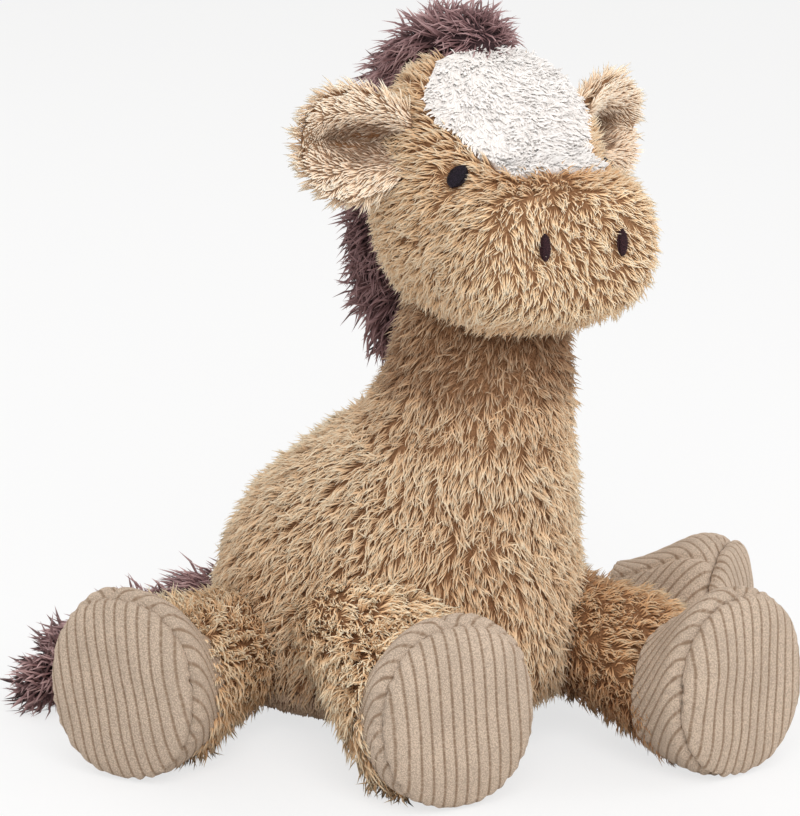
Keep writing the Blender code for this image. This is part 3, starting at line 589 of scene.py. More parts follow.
# Body and neck.
body = {
    "width": 0.171, "length": 0.224, "shoulder": 0.176, "seatCut": 0.004, "bellyForward": 0.005,
    "neck": 0.0435, "neckForward": 0.074, "nod": 0.205, "narrowing": 0.16, "inset": 0.0062, "seatSeam": 0.038,
    # rise, spread, thin, shorten, lean
    "rings": ((0.0, 0.72, 0.0, 0.50, -0.40), (0.07, 0.94, 0.0, 0.24, -0.18), (0.16, 1.0, 0.0, 0.08, -0.05),
              (0.30, 1.0, 0.0, 0.0, 0.0), (0.50, 1.0, 0.10, 0.12, 0.06), (0.68, 1.0, 0.36, 0.29, 0.26),
              (0.82, 1.0, 0.69, 0.57, 0.60), (0.96, 1.0, 0.93, 0.86, 0.92)),
    "dome": ((0.0, 1.0), (0.62, 0.86), (0.94, 0.46)),
}


def bodyRings():
    rings = []
    for rise, spread, thin, shorten, lean in body["rings"]:
        width = mix(body["width"] / 2 * spread, body["neck"], thin)
        length = mix(body["length"] / 2 * spread, body["neck"], shorten)
        centre = Vector((0, -mix(body["bellyForward"], body["neckForward"], lean),
                         mix(-body["seatCut"], body["shoulder"], rise)))
        rings.append((centre, Vector((width, 0, 0)), Vector((0, length, 0)), 2.0, body["narrowing"] * (1 - lean)))
    for rise, reach in body["dome"]:
        centre = Vector((0, -body["neckForward"], body["nod"] + rise * body["neck"]))
        rings.append((centre, Vector((reach * body["neck"], 0, 0)), Vector((0, reach * body["neck"], 0)), 2.0, 0.0))
    return rings


bodySkin = ringForm("bodySkin", bodyRings(), 16, Matrix.Identity(4), body["inset"], 2)
keepAbove(bodySkin, floorGap["skin"])
bodyTree = treeOf(bodySkin)
print("body skin", len(bodySkin.data.vertices))

# Head.
head = {
    "width": 0.112, "height": 0.135, "length": 0.140, "nose": 0.081, "inset": 0.0056,
    # along, half width, underside, top, squareness
    "rings": ((0.0, 0.66, 0.20, 0.50, 2.6), (0.05, 0.88, 0.11, 0.61, 2.8), (0.20, 0.96, 0.04, 0.65, 2.8),
              (0.35, 0.95, 0.01, 0.68, 2.7), (0.48, 0.99, 0.0, 0.90, 2.6), (0.66, 1.0, 0.0, 1.0, 2.5),
              (0.85, 0.88, 0.05, 0.96, 2.4), (1.0, 0.56, 0.20, 0.76, 2.3)),
    "blazeWidth": 0.078, "blazeStart": 0.026, "blazeLength": 0.066,
    "blazeOutline": ((0.60, 0.0), (0.66, 0.28), (0.80, 0.47), (1.0, 0.66), (0.96, 0.82), (0.60, 1.0)),
    "eyeBehindNose": 0.045, "eyeRise": 0.081, "eyeWidth": 0.0096, "eyeHeight": 0.0122,
    "nostrilSpacing": 0.042, "nostrilRise": 0.053, "nostrilWidth": 0.0056, "nostrilHeight": 0.0125,
}


def headRings():
    rings = []
    for along, width, low, high, squareness in head["rings"]:
        bottom, top = headBase + head["height"] * low, headBase + head["height"] * high
        centre = Vector((0, -head["nose"] + head["length"] * along, (bottom + top) / 2))
        rings.append((centre, Vector((head["width"] / 2 * width, 0, 0)), Vector((0, 0, (top - bottom) / 2)), squareness, 0.0))
    return rings


headForm = ringForm("headForm", headRings(), 16, headPlace, 0.0, 2)
headSkin = ringForm("headSkin", headRings(), 16, headPlace, head["inset"], 2)
headFormTree, headTree = treeOf(headForm), treeOf(headSkin)
toHead = headPlace.inverted()


def onHead(start, direction):
    place, normal, _, _ = headFormTree.ray_cast(headPlace @ Vector(start), headPlace.to_3x3() @ Vector(direction))
    return place, normal


eyeSpots = {side: onHead((sign * head["width"], -head["nose"] + head["eyeBehindNose"], headBase + head["eyeRise"]),
                         (-sign, 0, 0))
            for side, sign in (("Right", -1), ("Left", 1))}
nostrilSpots = {side: onHead((sign * head["nostrilSpacing"] / 2, -head["length"], headBase + head["nostrilRise"]), (0, 1, 0))
                for side, sign in (("Right", -1), ("Left", 1))}


def insideBlaze(local):  # whether a point lies within the blaze's outline
    if local.z < headBase + head["height"] * 0.55:
        return False
    back = (local.y + head["nose"] - head["blazeStart"]) / head["blazeLength"]
    steps = head["blazeOutline"]
    if back <= 0 or back >= 1:
        return False
    for (wideA, backA), (wideB, backB) in zip(steps, steps[1:]):
        if backA <= back <= backB:
            half = mix(wideA, wideB, (back - backA) / (backB - backA)) * head["blazeWidth"] / 2
            return abs(local.x) < half
    return False


def headRule(place):
    local = toHead @ place

    def rises(low, high):  # from one share of the head's height to another
        return smoothStep(headBase + head["height"] * low, headBase + head["height"] * high, local.z)

    away = local - Vector((0, -0.052, headBase + head["height"] * 0.60))  # the fur parts at the bridge of the nose
    comb = headPlace.to_3x3() @ (away.normalized() + Vector((0, 0.15, -0.35)))
    pile = mix(1.0, 0.72, smoothStep(-0.045, -0.075, local.y)) * mix(1.0, 0.78, smoothStep(0.0, 0.035, local.y))
    for spots, reach, least in ((eyeSpots, 0.014, 0.30), (nostrilSpots, 0.010, 0.52)):
        for spot, _ in spots.values():
            pile *= mix(least, 1.0, smoothStep(reach * 0.45, reach, (place - spot).length))
    underMane = local.z > headBase + head["height"] * 0.84 and abs(local.x) < 0.020 and local.y > 0.012
    hidden = underMane or insideBlaze(local) or depthIn(bodyTree, place) > 0.001
    # the nose ridge has its own deeper rust tone, the head's underside gets painted shade, the muzzle painted light,
    # and the colour deepens toward the back of the cheeks
    ridge = rises(0.52, 0.60) * smoothStep(-0.040, -0.050, local.y)
    undersideShade = rises(0.16, 0.05)
    cheek = 0.34 * smoothStep(-0.075, -0.035, local.y)
    muzzleLight = 0.45 * smoothStep(-0.060, -0.080, local.y) * (1 - ridge) * (1 - undersideShade)
    return comb, pile, 0.0 if hidden else 1.0, min(0.80 * ridge + 0.55 * undersideShade + cheek - muzzleLight, 1.0)


combSkin(headSkin, headRule)
headSettings = {"Spacing": 0.00088, "Density": 2000000.0, "Length": 0.0074, "Slimness": 0.044, "Lean": 0.66, "Bend": 0.40,
                "Clump Size": 0.0044, "Clump Pull": 1.0, "Wildness": 0.40, "Unevenness": 0.55, "Seed": 11}
headPileRight = growPile("headPileRight", headSkin, headSettings, finishes["headPile"], lambda co: co.x < 0)
headPileLeft = growPile("headPileLeft", headSkin, dict(headSettings, Seed=12), finishes["headPile"], lambda co: co.x >= 0)
print("head pile", len(headPileRight.data.polygons), len(headPileLeft.data.polygons))

# Blaze: short white pile, matted into small tufts.
blaze = {"rise": 0.0036, "wall": 0.0050, "Spacing": 0.00078, "Density": 2200000.0, "Length": 0.0038, "Slimness": 0.13,
         "Lean": 1.10, "Bend": 0.35,
         "Clump Size": 0.0040, "Clump Pull": 0.40, "Wildness": 0.80, "Unevenness": 0.4, "Softness": 0.92, "Seed": 21}


def buildBlaze():
    bm = bmesh.new()
    bm.from_mesh(headSkin.data)
    bmesh.ops.subdivide_edges(bm, edges=bm.edges, cuts=2, use_grid_fill=True)
    outside = [f for f in bm.faces if not insideBlaze(toHead @ f.calc_center_median())]
    bmesh.ops.delete(bm, geom=outside, context="FACES")
    for vertex in bm.verts:
        vertex.co += vertex.normal * blaze["rise"]
    mesh = bpy.data.meshes.new("blazeSkin")
    bm.to_mesh(mesh)
    bm.free()
    piece = bpy.data.objects.new("blazeSkin", mesh)
    horse.objects.link(piece)
    for label in ("comb", "pile", "cover", "shade"):
        mesh.attributes.remove(mesh.attributes[label])
    return piece


blazeSkin = buildBlaze()
combSkin(blazeSkin, lambda place: (headPlace.to_3x3() @ Vector((place.x * 12, -0.25, -0.6)), 1.0, 1.0, 0.0))
blazePile = growPile("blazePile", blazeSkin, blaze, finishes["whitePile"])
thicken(blazeSkin, blaze["wall"])
print("blaze pile", len(blazePile.data.polygons))

# Legs and hooves, along +X from each hip.
leg = {
    "radius": 0.037, "root": 0.032, "ankleHeight": 0.038, "reach": 0.110, "hoofWidth": 0.080, "hoofHeight": 0.090,
    "setback": 0.006, "settling": 0.6, "bulge": 0.0085, "inset": 0.0060, "squareness": 2.2,
    "roots": ((-0.98, 0.50), (-0.50, 0.98)),
    "rings": ((0.35, 0.3, 0.15), (0.74, 0.95, 0.80), (0.98, 1.75, 1.0), (1.10, 1.1, 1.05), (1.13, -2.5, 1.05)),
    "plainRings": ((0.35, 0.2, 0.15), (0.74, 0.4, 0.80), (0.96, 0.2, 1.0), (1.10, -1.0, 1.05)),
    "hoof": ((-0.25, -0.10), (0.25, 0.66), (0.70, 1.10), (1.0, 1.0)),
    "fuller": {"FrontRight": 0.55},
    "slack": {"HindLeft": (0.34, 0.010, 0.045), "FrontLeft": (0.17, 0.030, 0.072)},
    # the side terms paint shade on the front left leg and light on the front right
    "sideLightAndShade": {"FrontLeft": 0.62, "FrontRight": -0.35}, "pileAtHoof": {"HindLeft": 0.50, "FrontLeft": 0.85, "FrontRight": 1.40},
    # hip, heading, body, ankle's reach, whether the hoof lies rolled, where its front seam points and its upper's taper
    "places": {
        "FrontRight": ((-0.0503082, -0.042, 0.059004), -96.0, "front_right", 0.0803, False, 94.0, 0.03),
        "FrontLeft": ((0.0584991, -0.0719936, 0.044001), -81.0, "front_left", 0.0803, False, 88.0, 0.03),
        "HindRight": ((-0.0770013, 0.0210112, 0.036999), -151.0, "hind_right", 0.0803, False, 100.0, 0.03),
        "HindLeft": ((0.0779931, 0.014, 0.036999), -49.0, "hind_left", 0.0605, True, 118.0, 0.22),
    },
}
wale = {"pitch": 0.0055, "height": 0.00085, "gather": 0.0007, "slant": math.radians(50), "around": 300, "alongStep": 0.0009,
        "rows": 44,
        "fold": 0.0062, "profile": (0.0, 0.07, 0.2, 0.36, 0.5, 0.64, 0.8, 0.93)}


def legRing(reach, drop, width, height, squareness=2.0):
    return (Vector((reach, 0, -drop)), Vector((0, width, 0)), Vector((0, 0, height)), squareness, 0.0)


def legRings(hipHeight, ankle, rolled):
    rings = [legRing(leg["root"] * back, 0.0, leg["root"] * size, leg["root"] * size) for back, size in leg["roots"]]
    for reach, size, drop in leg["plainRings" if rolled else "rings"]:
        radius = mix(leg["root"], leg["radius"], size)
        rings.append(legRing(ankle * reach, (hipHeight - leg["ankleHeight"]) * drop, radius, radius))
    return rings


hoofCurve = np.polyfit([a for a, _ in leg["hoof"]], [s for _, s in leg["hoof"]], 3)


def hoofSection(reach, hipHeight, ankle, rolled):  # half width, half height and centre of the hoof at a reach
    width, height = (leg["hoofHeight"], leg["hoofWidth"]) if rolled else (leg["hoofWidth"], leg["hoofHeight"])
    along = (reach - ankle) / (leg["reach"] - ankle)
    size = np.polyval(hoofCurve, max(along, -0.3))
    kept = 1 - 0.17 * max((along - 0.45) / 0.55, 0.0) ** 2  # the upper turns in before the sole
    drop = mix(hipHeight - leg["ankleHeight"], hipHeight - height / 2 + 0.0005, size)
    drop += height / 2 * (1 - kept) * leg["settling"]
    return mix(leg["radius"], width / 2, size) * kept, mix(leg["radius"], height / 2, size) * kept, -drop


def ribHeight(phase):  # rounded ribs with narrow grooves
    return np.abs(np.sin(np.pi * phase)) ** 0.55


def outlinePoint(angle, halfWidth, halfHeight):
    power = 2 / leg["squareness"]
    y = np.sign(np.cos(angle)) * np.abs(np.cos(angle)) ** power * halfWidth
    z = np.sign(np.sin(angle)) * np.abs(np.sin(angle)) ** power * halfHeight
    return y, z


def wobble(x, y, z, scale, seed):
    return noise.noise(Vector((x * scale + seed, y * scale, z * scale)))


def gatherAt(arc, seed):  # small folds pulled in by the seam's stitches, uneven round the hoof
    depth = 0.55 + 0.45 * np.sin(arc * 97.0 + 2 * seed)
    return np.sin(arc / wale["fold"] * math.tau + 1.5 * np.sin(arc * 61.0 + seed)) * depth


def buildUpper(label, hip, turn, ankle, rolled, seamAngle, taper, seed):
    seam = leg["reach"] - leg["setback"]
    start = ankle - 0.010
    around = wale["around"]
    steps = int(round((seam - start) / wale["alongStep"]))
    reaches = np.linspace(start, seam - 0.0003, steps + 1)
    # even spacing round the outline, measured at the seam and begun at the front seam
    fine = np.linspace(0, math.tau, 4001) + math.radians(seamAngle)
    halfW, halfH, _ = hoofSection(seam, hip[2], ankle, rolled)
    fy, fz = outlinePoint(fine, halfW, halfH)
    run = np.concatenate([[0], np.cumsum(np.hypot(np.diff(fy), np.diff(fz)))])
    angles = np.interp(np.linspace(0, run[-1], around, endpoint=False), run, fine)
    arc = np.linspace(0, run[-1], around, endpoint=False)
    fromSeam = np.minimum(arc, run[-1] - arc)
    vertices, phases = [], []
    for reach in reaches:
        halfW, halfH, middle = hoofSection(reach, hip[2], ankle, rolled)
        slim = 1 - taper * smoothStep(seam, start, reach)
        y, z = outlinePoint(angles, halfW * slim, halfH * slim)
        middle -= halfH * (1 - slim) * 0.9  # a tapered upper sinks to the floor
        length = np.hypot(y, z)
        phase = (fromSeam * math.cos(wale["slant"]) + (reach - start) * math.sin(wale["slant"])) / wale["pitch"]
        nearSole = math.exp(-((seam - reach) / 0.0022) ** 2)
        nearFront = np.exp(-(fromSeam / 0.0016) ** 2)
        gather = math.exp(-((seam - reach) / 0.0055) ** 2)
        pucker = np.array([wobble(a * 8.0, reach * 60, 0, 1.0, seed) for a in angles]) * nearSole * 0.0012
        pucker += gatherAt(arc, seed) * gather * wale["gather"]
        sag = np.array([wobble(math.cos(a) * 1.6, math.sin(a) * 1.6, reach * 30, 1.0, seed + 9) for a in angles]) * 0.0016
        ribs = wale["height"] * ribHeight(phase) * (1 - 0.85 * nearFront) * (1 - 0.5 * nearSole)
        radial = ribs - wale["height"] * 0.6 - 0.0016 * nearSole - 0.0014 * nearFront + pucker + sag
        vertices += [(reach, y[i] * (1 + radial[i] / length[i]),
                      middle + z[i] * (1 + radial[i] / length[i])) for i in range(around)]
        phases += [(phase[i], reach / wale["pitch"]) for i in range(around)]
    faces = []
    for row in range(steps):
        for i in range(around):
            j = (i + 1) % around
            faces.append((row * around + i, row * around + j, (row + 1) * around + j, (row + 1) * around + i))
    faces.append(tuple(range(around)))
    faces.append(tuple(range(steps * around, (steps + 1) * around)))
    return finishHoof(f"hoofUpper{label}", vertices, faces, phases, hip, turn)


def buildSole(label, hip, turn, ankle, rolled, seamAngle, seed):
    seam = leg["reach"] - leg["setback"]
    halfW, halfH, middle = hoofSection(seam, hip[2], ankle, rolled)
    bulge = leg["bulge"]
    lean = math.radians(seamAngle - 90)  # the ribs run from the front seam to the heel
    pitch = wale["pitch"]
    most = int(max(halfW, halfH) * 1.2 / pitch)
    columns = sorted({round(pitch * (rib + part), 7) for rib in range(-most - 1, most + 2) for part in wale["profile"]})
    # outline in the frame of the ribs
    turnY, turnZ = math.cos(lean), math.sin(lean)
    fine = np.linspace(0, math.tau, 6001)
    oy, oz = outlinePoint(fine, halfW, halfH)
    py, pz = oy * turnY + oz * turnZ, -oy * turnZ + oz * turnY
    wide = (py.min() + 0.0002, py.max() - 0.0002)
    columns = [wide[0]] + [c for c in columns if wide[0] + 0.0003 < c < wide[1] - 0.0003] + [wide[1]]
    upper, lower = pz > 0, pz <= 0
    order = np.argsort(py)
    top = np.interp(columns, py[order][upper[order]], pz[order][upper[order]])
    bottom = np.interp(columns, py[order][lower[order]], pz[order][lower[order]])
    rows = wale["rows"]
    share = np.sin(np.linspace(-1, 1, rows + 1) * math.pi / 2)
    vertices, phases = [], []
    for index, column in enumerate(columns):
        high, low = top[index], bottom[index]
        for s in share:
            a, b = column, (high + low) / 2 + (high - low) / 2 * s
            y, z = a * turnY - b * turnZ, a * turnZ + b * turnY
            ratio = (abs(y / halfW) ** leg["squareness"] + abs(z / halfH) ** leg["squareness"]) ** (1 / leg["squareness"])
            ratio = min(ratio, 1.0)
            rise = (1 - ratio ** 5.0) ** 0.55
            fade = smoothStep(1.0, 0.94, ratio)
            phase = a / pitch
            ribs = wale["height"] * float(ribHeight(phase)) * mix(0.5, 1.0, fade)
            dent = wobble(y, z, 0, 42.0, seed) * 0.0016 * fade
            x = seam + 0.0004 + (bulge + dent) * rise + ribs * rise
            angle = math.atan2(z, y)
            swell = 0.0016 * math.sin(math.pi * min(rise, 1.0)) + ribs * (1 - rise) * 0.8 - 0.0012 * (1 - rise)
            swell += wobble(angle * 7.0, 0, 0, 1.0, seed + 4) * 0.0012 * (1 - rise)
            swell += float(gatherAt(angle * (halfW + halfH) / 2, seed)) * wale["gather"] * smoothStep(0.90, 1.0, ratio)
            out = 1 + swell / max(math.hypot(y, z), 0.004)
            vertices.append((x, y * out, middle + z * out))
            phases.append((phase, b / pitch))
    faces, count = [], rows + 1
    for c in range(len(columns) - 1):
        for r in range(rows):
            faces.append((c * count + r, (c + 1) * count + r, (c + 1) * count + r + 1, c * count + r + 1))
    # the inner side, a flat disc across the seam
    edge = [c * count for c in range(len(columns))]
    edge += [(len(columns) - 1) * count + r for r in range(1, rows + 1)]
    edge += [c * count + rows for c in range(len(columns) - 2, -1, -1)]
    edge += list(range(rows - 1, 0, -1))
    faces.append(tuple(edge))
    return finishHoof(f"hoofSole{label}", vertices, faces, phases, hip, turn)


def finishHoof(name, vertices, faces, phases, hip, turn):
    place = Matrix.Translation(hip) @ turn
    world = [place @ Vector(v) for v in vertices]
    for v in world:
        v.z = max(v.z, floorGap["hoof"])
    piece = addMesh(name, world, faces)
    layer = piece.data.uv_layers.new(name="wale")
    corner = np.empty(len(piece.data.loops), dtype=np.int32)
    piece.data.loops.foreach_get("vertex_index", corner)
    layer.data.foreach_set("uv", np.array(phases)[corner].ravel())
    faceOutward(piece, weld=False)
    piece.data.materials.append(finishes["corduroy"])
    return piece


legSettings = {"Spacing": 0.00095, "Density": 1700000.0, "Length": 0.0098, "Slimness": 0.036, "Lean": 0.74, "Bend": 0.42,
               "Clump Size": 0.0052, "Clump Pull": 1.0, "Wildness": 0.36, "Unevenness": 0.55}
legPieces = {}


def buildLeg(label, index):
    hip, heading, name, ankle, rolled, seamAngle, taper = leg["places"][label]
    turn = Matrix.Rotation(math.radians(heading), 4, "Z")
    place = Matrix.Translation(hip) @ turn
    back = place.inverted()
    skin = ringForm(f"legSkin{label}", legRings(hip[2], ankle, rolled), 16, place,
                    leg["inset"] * leg["fuller"].get(label, 1.0), 2)
    if label in leg["slack"]:  # these legs lie slack and flattened before the hoof
        sink, nearEnd, farEnd = leg["slack"][label]
        spots = points(skin)
        spots[:, 2] *= [1 - sink * smoothStep(nearEnd, farEnd, (back @ Vector(spot)).x) for spot in spots]
        setPoints(skin, spots)
    keepAbove(skin, floorGap["skin"])
    furEnd, sideLightAndShade = 0.94 if rolled else 1.06, leg["sideLightAndShade"].get(label, 0.0)

    def rule(co):
        local = back @ co
        comb = turn.to_3x3() @ Vector((1.0, 0, -0.25))
        pile = mix(0.85, leg["pileAtHoof"].get(label, 1.15), smoothStep(0.0, ankle, local.x))
        cover = 0.0 if local.x > ankle * furEnd or co.z < 0.0008 or depthIn(bodyTree, co) > 0.002 else 1.0
        # painted shade low near the floor and where the leg meets the body at the hip, plus each leg's side term:
        # painted shade on the front left leg, painted light on the front right
        shade = 0.80 * smoothStep(0.056, 0.012, co.z) + 0.40 * smoothStep(0.035, 0.0, local.x) + sideLightAndShade
        return comb, pile, cover, min(shade, 1.0)

    combSkin(skin, rule)
    pile = growPile(f"legPile{label}", skin, dict(legSettings, Seed=31 + index), finishes["legPile"])
    upper = buildUpper(label, hip, turn, ankle, rolled, seamAngle, taper, 3.7 * index + 1)
    sole = buildSole(label, hip, turn, ankle, rolled, seamAngle, 5.3 * index + 2)
    skin.data.materials.append(finishes["bodyBacking"])
    legPieces[label] = (skin, pile, upper, sole)
    print("leg", label, len(pile.data.polygons), len(upper.data.polygons), len(sole.data.polygons))


for index, label in enumerate(leg["places"]):
    buildLeg(label, index)
legTrees = [treeOf(pieces[0]) for pieces in legPieces.values()]

# Body pile, in four pieces, and the short nap of the seat.
bodySettings = {"Spacing": 0.00093, "Density": 1800000.0, "Length": 0.0078, "Slimness": 0.042, "Lean": 0.72, "Bend": 0.42,
                "Clump Size": 0.0048, "Clump Pull": 1.0, "Wildness": 0.42, "Unevenness": 0.55}

# top of the pile, the neck's seam, and where the four pieces of pile meet
bodyFur = {"top": 0.222, "neckSeam": 0.161, "seamSlope": 0.05, "seamWidth": 0.005, "shoulder": 0.135, "chest": -0.035}


def bodyRule(place):
    comb = Vector((place.x * 2.0, 0.18, -1.0))
    pile = mix(0.85, 1.0, smoothStep(0.185, 0.150, place.z))
    underLeg = any(depthIn(tree, place) > 0.003 for tree in legTrees)
    hidden = underLeg or place.z < body["seatSeam"] * 0.62 or place.z > bodyFur["top"]
    # painted shade under the chin, in the band of the neck's seam fold, which shorter pile also sinks, and low on the
    # body near the floor
    chin = smoothStep(0.150, 0.186, place.z) * (1.0 if place.y < -0.02 else 0.6)
    fold = math.exp(-((place.z - bodyFur["neckSeam"] - bodyFur["seamSlope"] * place.y) / bodyFur["seamWidth"]) ** 2)
    return comb, pile * (1 - 0.35 * fold), 0.0 if hidden else 1.0, min(1.1 * chin + 0.6 * fold + 0.75 * smoothStep(0.055,
        0.028, place.z), 1.0)


combSkin(bodySkin, bodyRule)
bodyParts = {  # the share of the usual spacing, and the region
    "neckPile": (0.85, lambda co: co.z > bodyFur["shoulder"]),
    "chestPile": (1.0, lambda co: co.z <= bodyFur["shoulder"] and co.y < bodyFur["chest"]),
    "flankPileRight": (1.0, lambda co: co.z <= bodyFur["shoulder"] and co.y >= bodyFur["chest"] and co.x < 0),
    "flankPileLeft": (1.0, lambda co: co.z <= bodyFur["shoulder"] and co.y >= bodyFur["chest"] and co.x >= 0),
}
bodyPiles = []
for index, (name, (tight, region)) in enumerate(bodyParts.items()):
    values = dict(bodySettings, Seed=51 + index)
    values["Spacing"] *= tight
    bodyPiles.append(growPile(name, bodySkin, values, finishes["bodyPile"], region))
    print(name, len(bodyPiles[-1].data.polygons))

seat = {"rise": 0.0012, "wall": 0.003, "Spacing": 0.0012, "Density": 1000000.0, "Length": 0.0034, "Slimness": 0.16,
        "Lean": 0.8, "Bend": 0.2,
        "Clump Size": 0.005, "Clump Pull": 0.2, "Wildness": 0.25, "Unevenness": 0.3, "Seed": 61}


def buildSeat():
    bm = bmesh.new()
    bm.from_mesh(bodySkin.data)
    bmesh.ops.delete(bm, geom=[f for f in bm.faces if f.calc_center_median().z > body["seatSeam"] * 0.66], context="FACES")
    bmesh.ops.subdivide_edges(bm, edges=bm.edges, cuts=1, use_grid_fill=True)
    for vertex in bm.verts:
        vertex.co += vertex.normal * seat["rise"]
        vertex.co.z = max(vertex.co.z, floorGap["pile"])
    mesh = bpy.data.meshes.new("seatPanel")
    bm.to_mesh(mesh)
    bm.free()
    for label in ("comb", "pile", "cover", "shade"):
        mesh.attributes.remove(mesh.attributes[label])
    piece = bpy.data.objects.new("seatPanel", mesh)
    horse.objects.link(piece)
    return piece


seatPanel = buildSeat()


def seatRule(place):
    cover = 1.0 if place.z > 0.001 and not any(depthIn(tree, place) > 0.002 for tree in legTrees) else 0.0
    return Vector((0, 0.2, -1)), 1.0, cover, 0.0


combSkin(seatPanel, seatRule)
seatPile = growPile("seatPile", seatPanel, seat, finishes["seatNap"])
thicken(seatPanel, seat["wall"])
print("seat pile", len(seatPile.data.polygons))

# Ears: a cupped leaf of plush, lined with a softer nap that is full at the lips and sinks into the cup.
ear = {
    "length": 0.050, "width": 0.052, "rootWidth": 0.026, "cup": 0.013, "margin": 0.0015, "wall": 0.0045, "lining": 0.0016,
    "pit": 0.0070, "pitRoot": -0.0055, "pitTip": 0.0055, "lips": ((0.0150, 0.0042), (-0.0125, 0.0050)), "lipSpread": 0.0062,
    "pitSpread": 0.0060,
    "stations": ((0.0, 0.0, 0.55), (0.22, 0.62, 0.90), (0.50, 1.0, 1.0), (0.78, 0.80, 0.72), (0.95, 0.10, 0.35),
                 (1.0, -0.75, 0.20)),
    "places": {
        "Right": (-1, ((-0.91277, -0.40618, -0.04331, -0.04206), (0.40451, -0.91355, 0.04252, -0.078),
                       (-0.05684, 0.02129, 0.99816, 0.29482), (0, 0, 0, 1)), "ear_right"),
        "Left": (1, ((0.90183, -0.40618, 0.14741, 0.0513), (0.40451, 0.91355, 0.04252, -0.078),
                     (-0.15193, 0.02129, 0.98816, 0.28993), (0, 0, 0, 1)), "ear_left"),
    },
}
earSettings = {"Spacing": 0.00090, "Density": 1800000.0, "Length": 0.0085, "Slimness": 0.044, "Lean": 0.85, "Bend": 0.3,
               "Clump Size": 0.006, "Clump Pull": 0.7, "Wildness": 0.35, "Unevenness": 0.5, "Softness": 0.1}
napSettings = {"Spacing": 0.00085, "Density": 2000000.0, "Length": 0.0044, "Slimness": 0.085, "Lean": 1.05, "Bend": 0.25,
               "Clump Size": 0.004, "Clump Pull": 0.45, "Wildness": 0.25, "Unevenness": 0.4, "Softness": 0.5}


def bell(value, middle, spread):
    return math.exp(-((value - middle) / spread) ** 2)


def nearPit(station, across, spread):  # the crease runs from low at the root to high near the tip
    return bell(across, mix(ear["pitRoot"], ear["pitTip"], station), spread)


def earPit(station, across):  # how far the crease sinks behind the cup's even curve
    return ear["pit"] * nearPit(station, across, ear["pitSpread"]) * smoothStep(1.0, 0.55, station)


def earShape(station):
    stations = np.array(ear["stations"])
    return np.interp(station, stations[:, 0], stations[:, 1]), np.interp(station, stations[:, 0], stations[:, 2])


def earGrid(side, margin, lift, lips=0.0, rows=30, columns=30):
    fine = np.linspace(0, 1, 201)
    size, deep = earShape(fine)
    kernel = np.ones(25) / 25  # rounds the corners between the stations
    size = np.convolve(np.pad(size, 12, mode="edge"), kernel, "valid")
    deep = np.convolve(np.pad(deep, 12, mode="edge"), kernel, "valid")
    vertices = []
    for row in range(rows + 1):
        station = math.sin(row / rows * math.pi / 2) * (1 - margin / ear["length"])
        half = mix(ear["rootWidth"], ear["width"], np.interp(station, fine, size)) / 2
        half = max(half, 0.0045)
        cup = ear["cup"] * np.interp(station, fine, deep)
        for column in range(columns + 1):
            across = (column / columns * 2 - 1) * (half - margin)
            depth = cup * math.cos(across / half * math.pi / 2) + earPit(station, across)
            full = 0.0
            for middle, height in ear["lips"]:
                full += height * bell(across, middle * half / (ear["width"] / 2), ear["lipSpread"])
            full *= smoothStep(1.02, 0.80, station) * smoothStep(1.0, 0.86, abs(across) / half)
            vertices.append((ear["length"] * station, side * (depth - lift - lips * full), across))
    faces = []
    for row in range(rows):
        for column in range(columns):
            a = row * (columns + 1) + column
            corners = (a, a + columns + 1, a + columns + 2, a + 1)
            faces.append(corners if side > 0 else corners[::-1])
    return vertices, faces


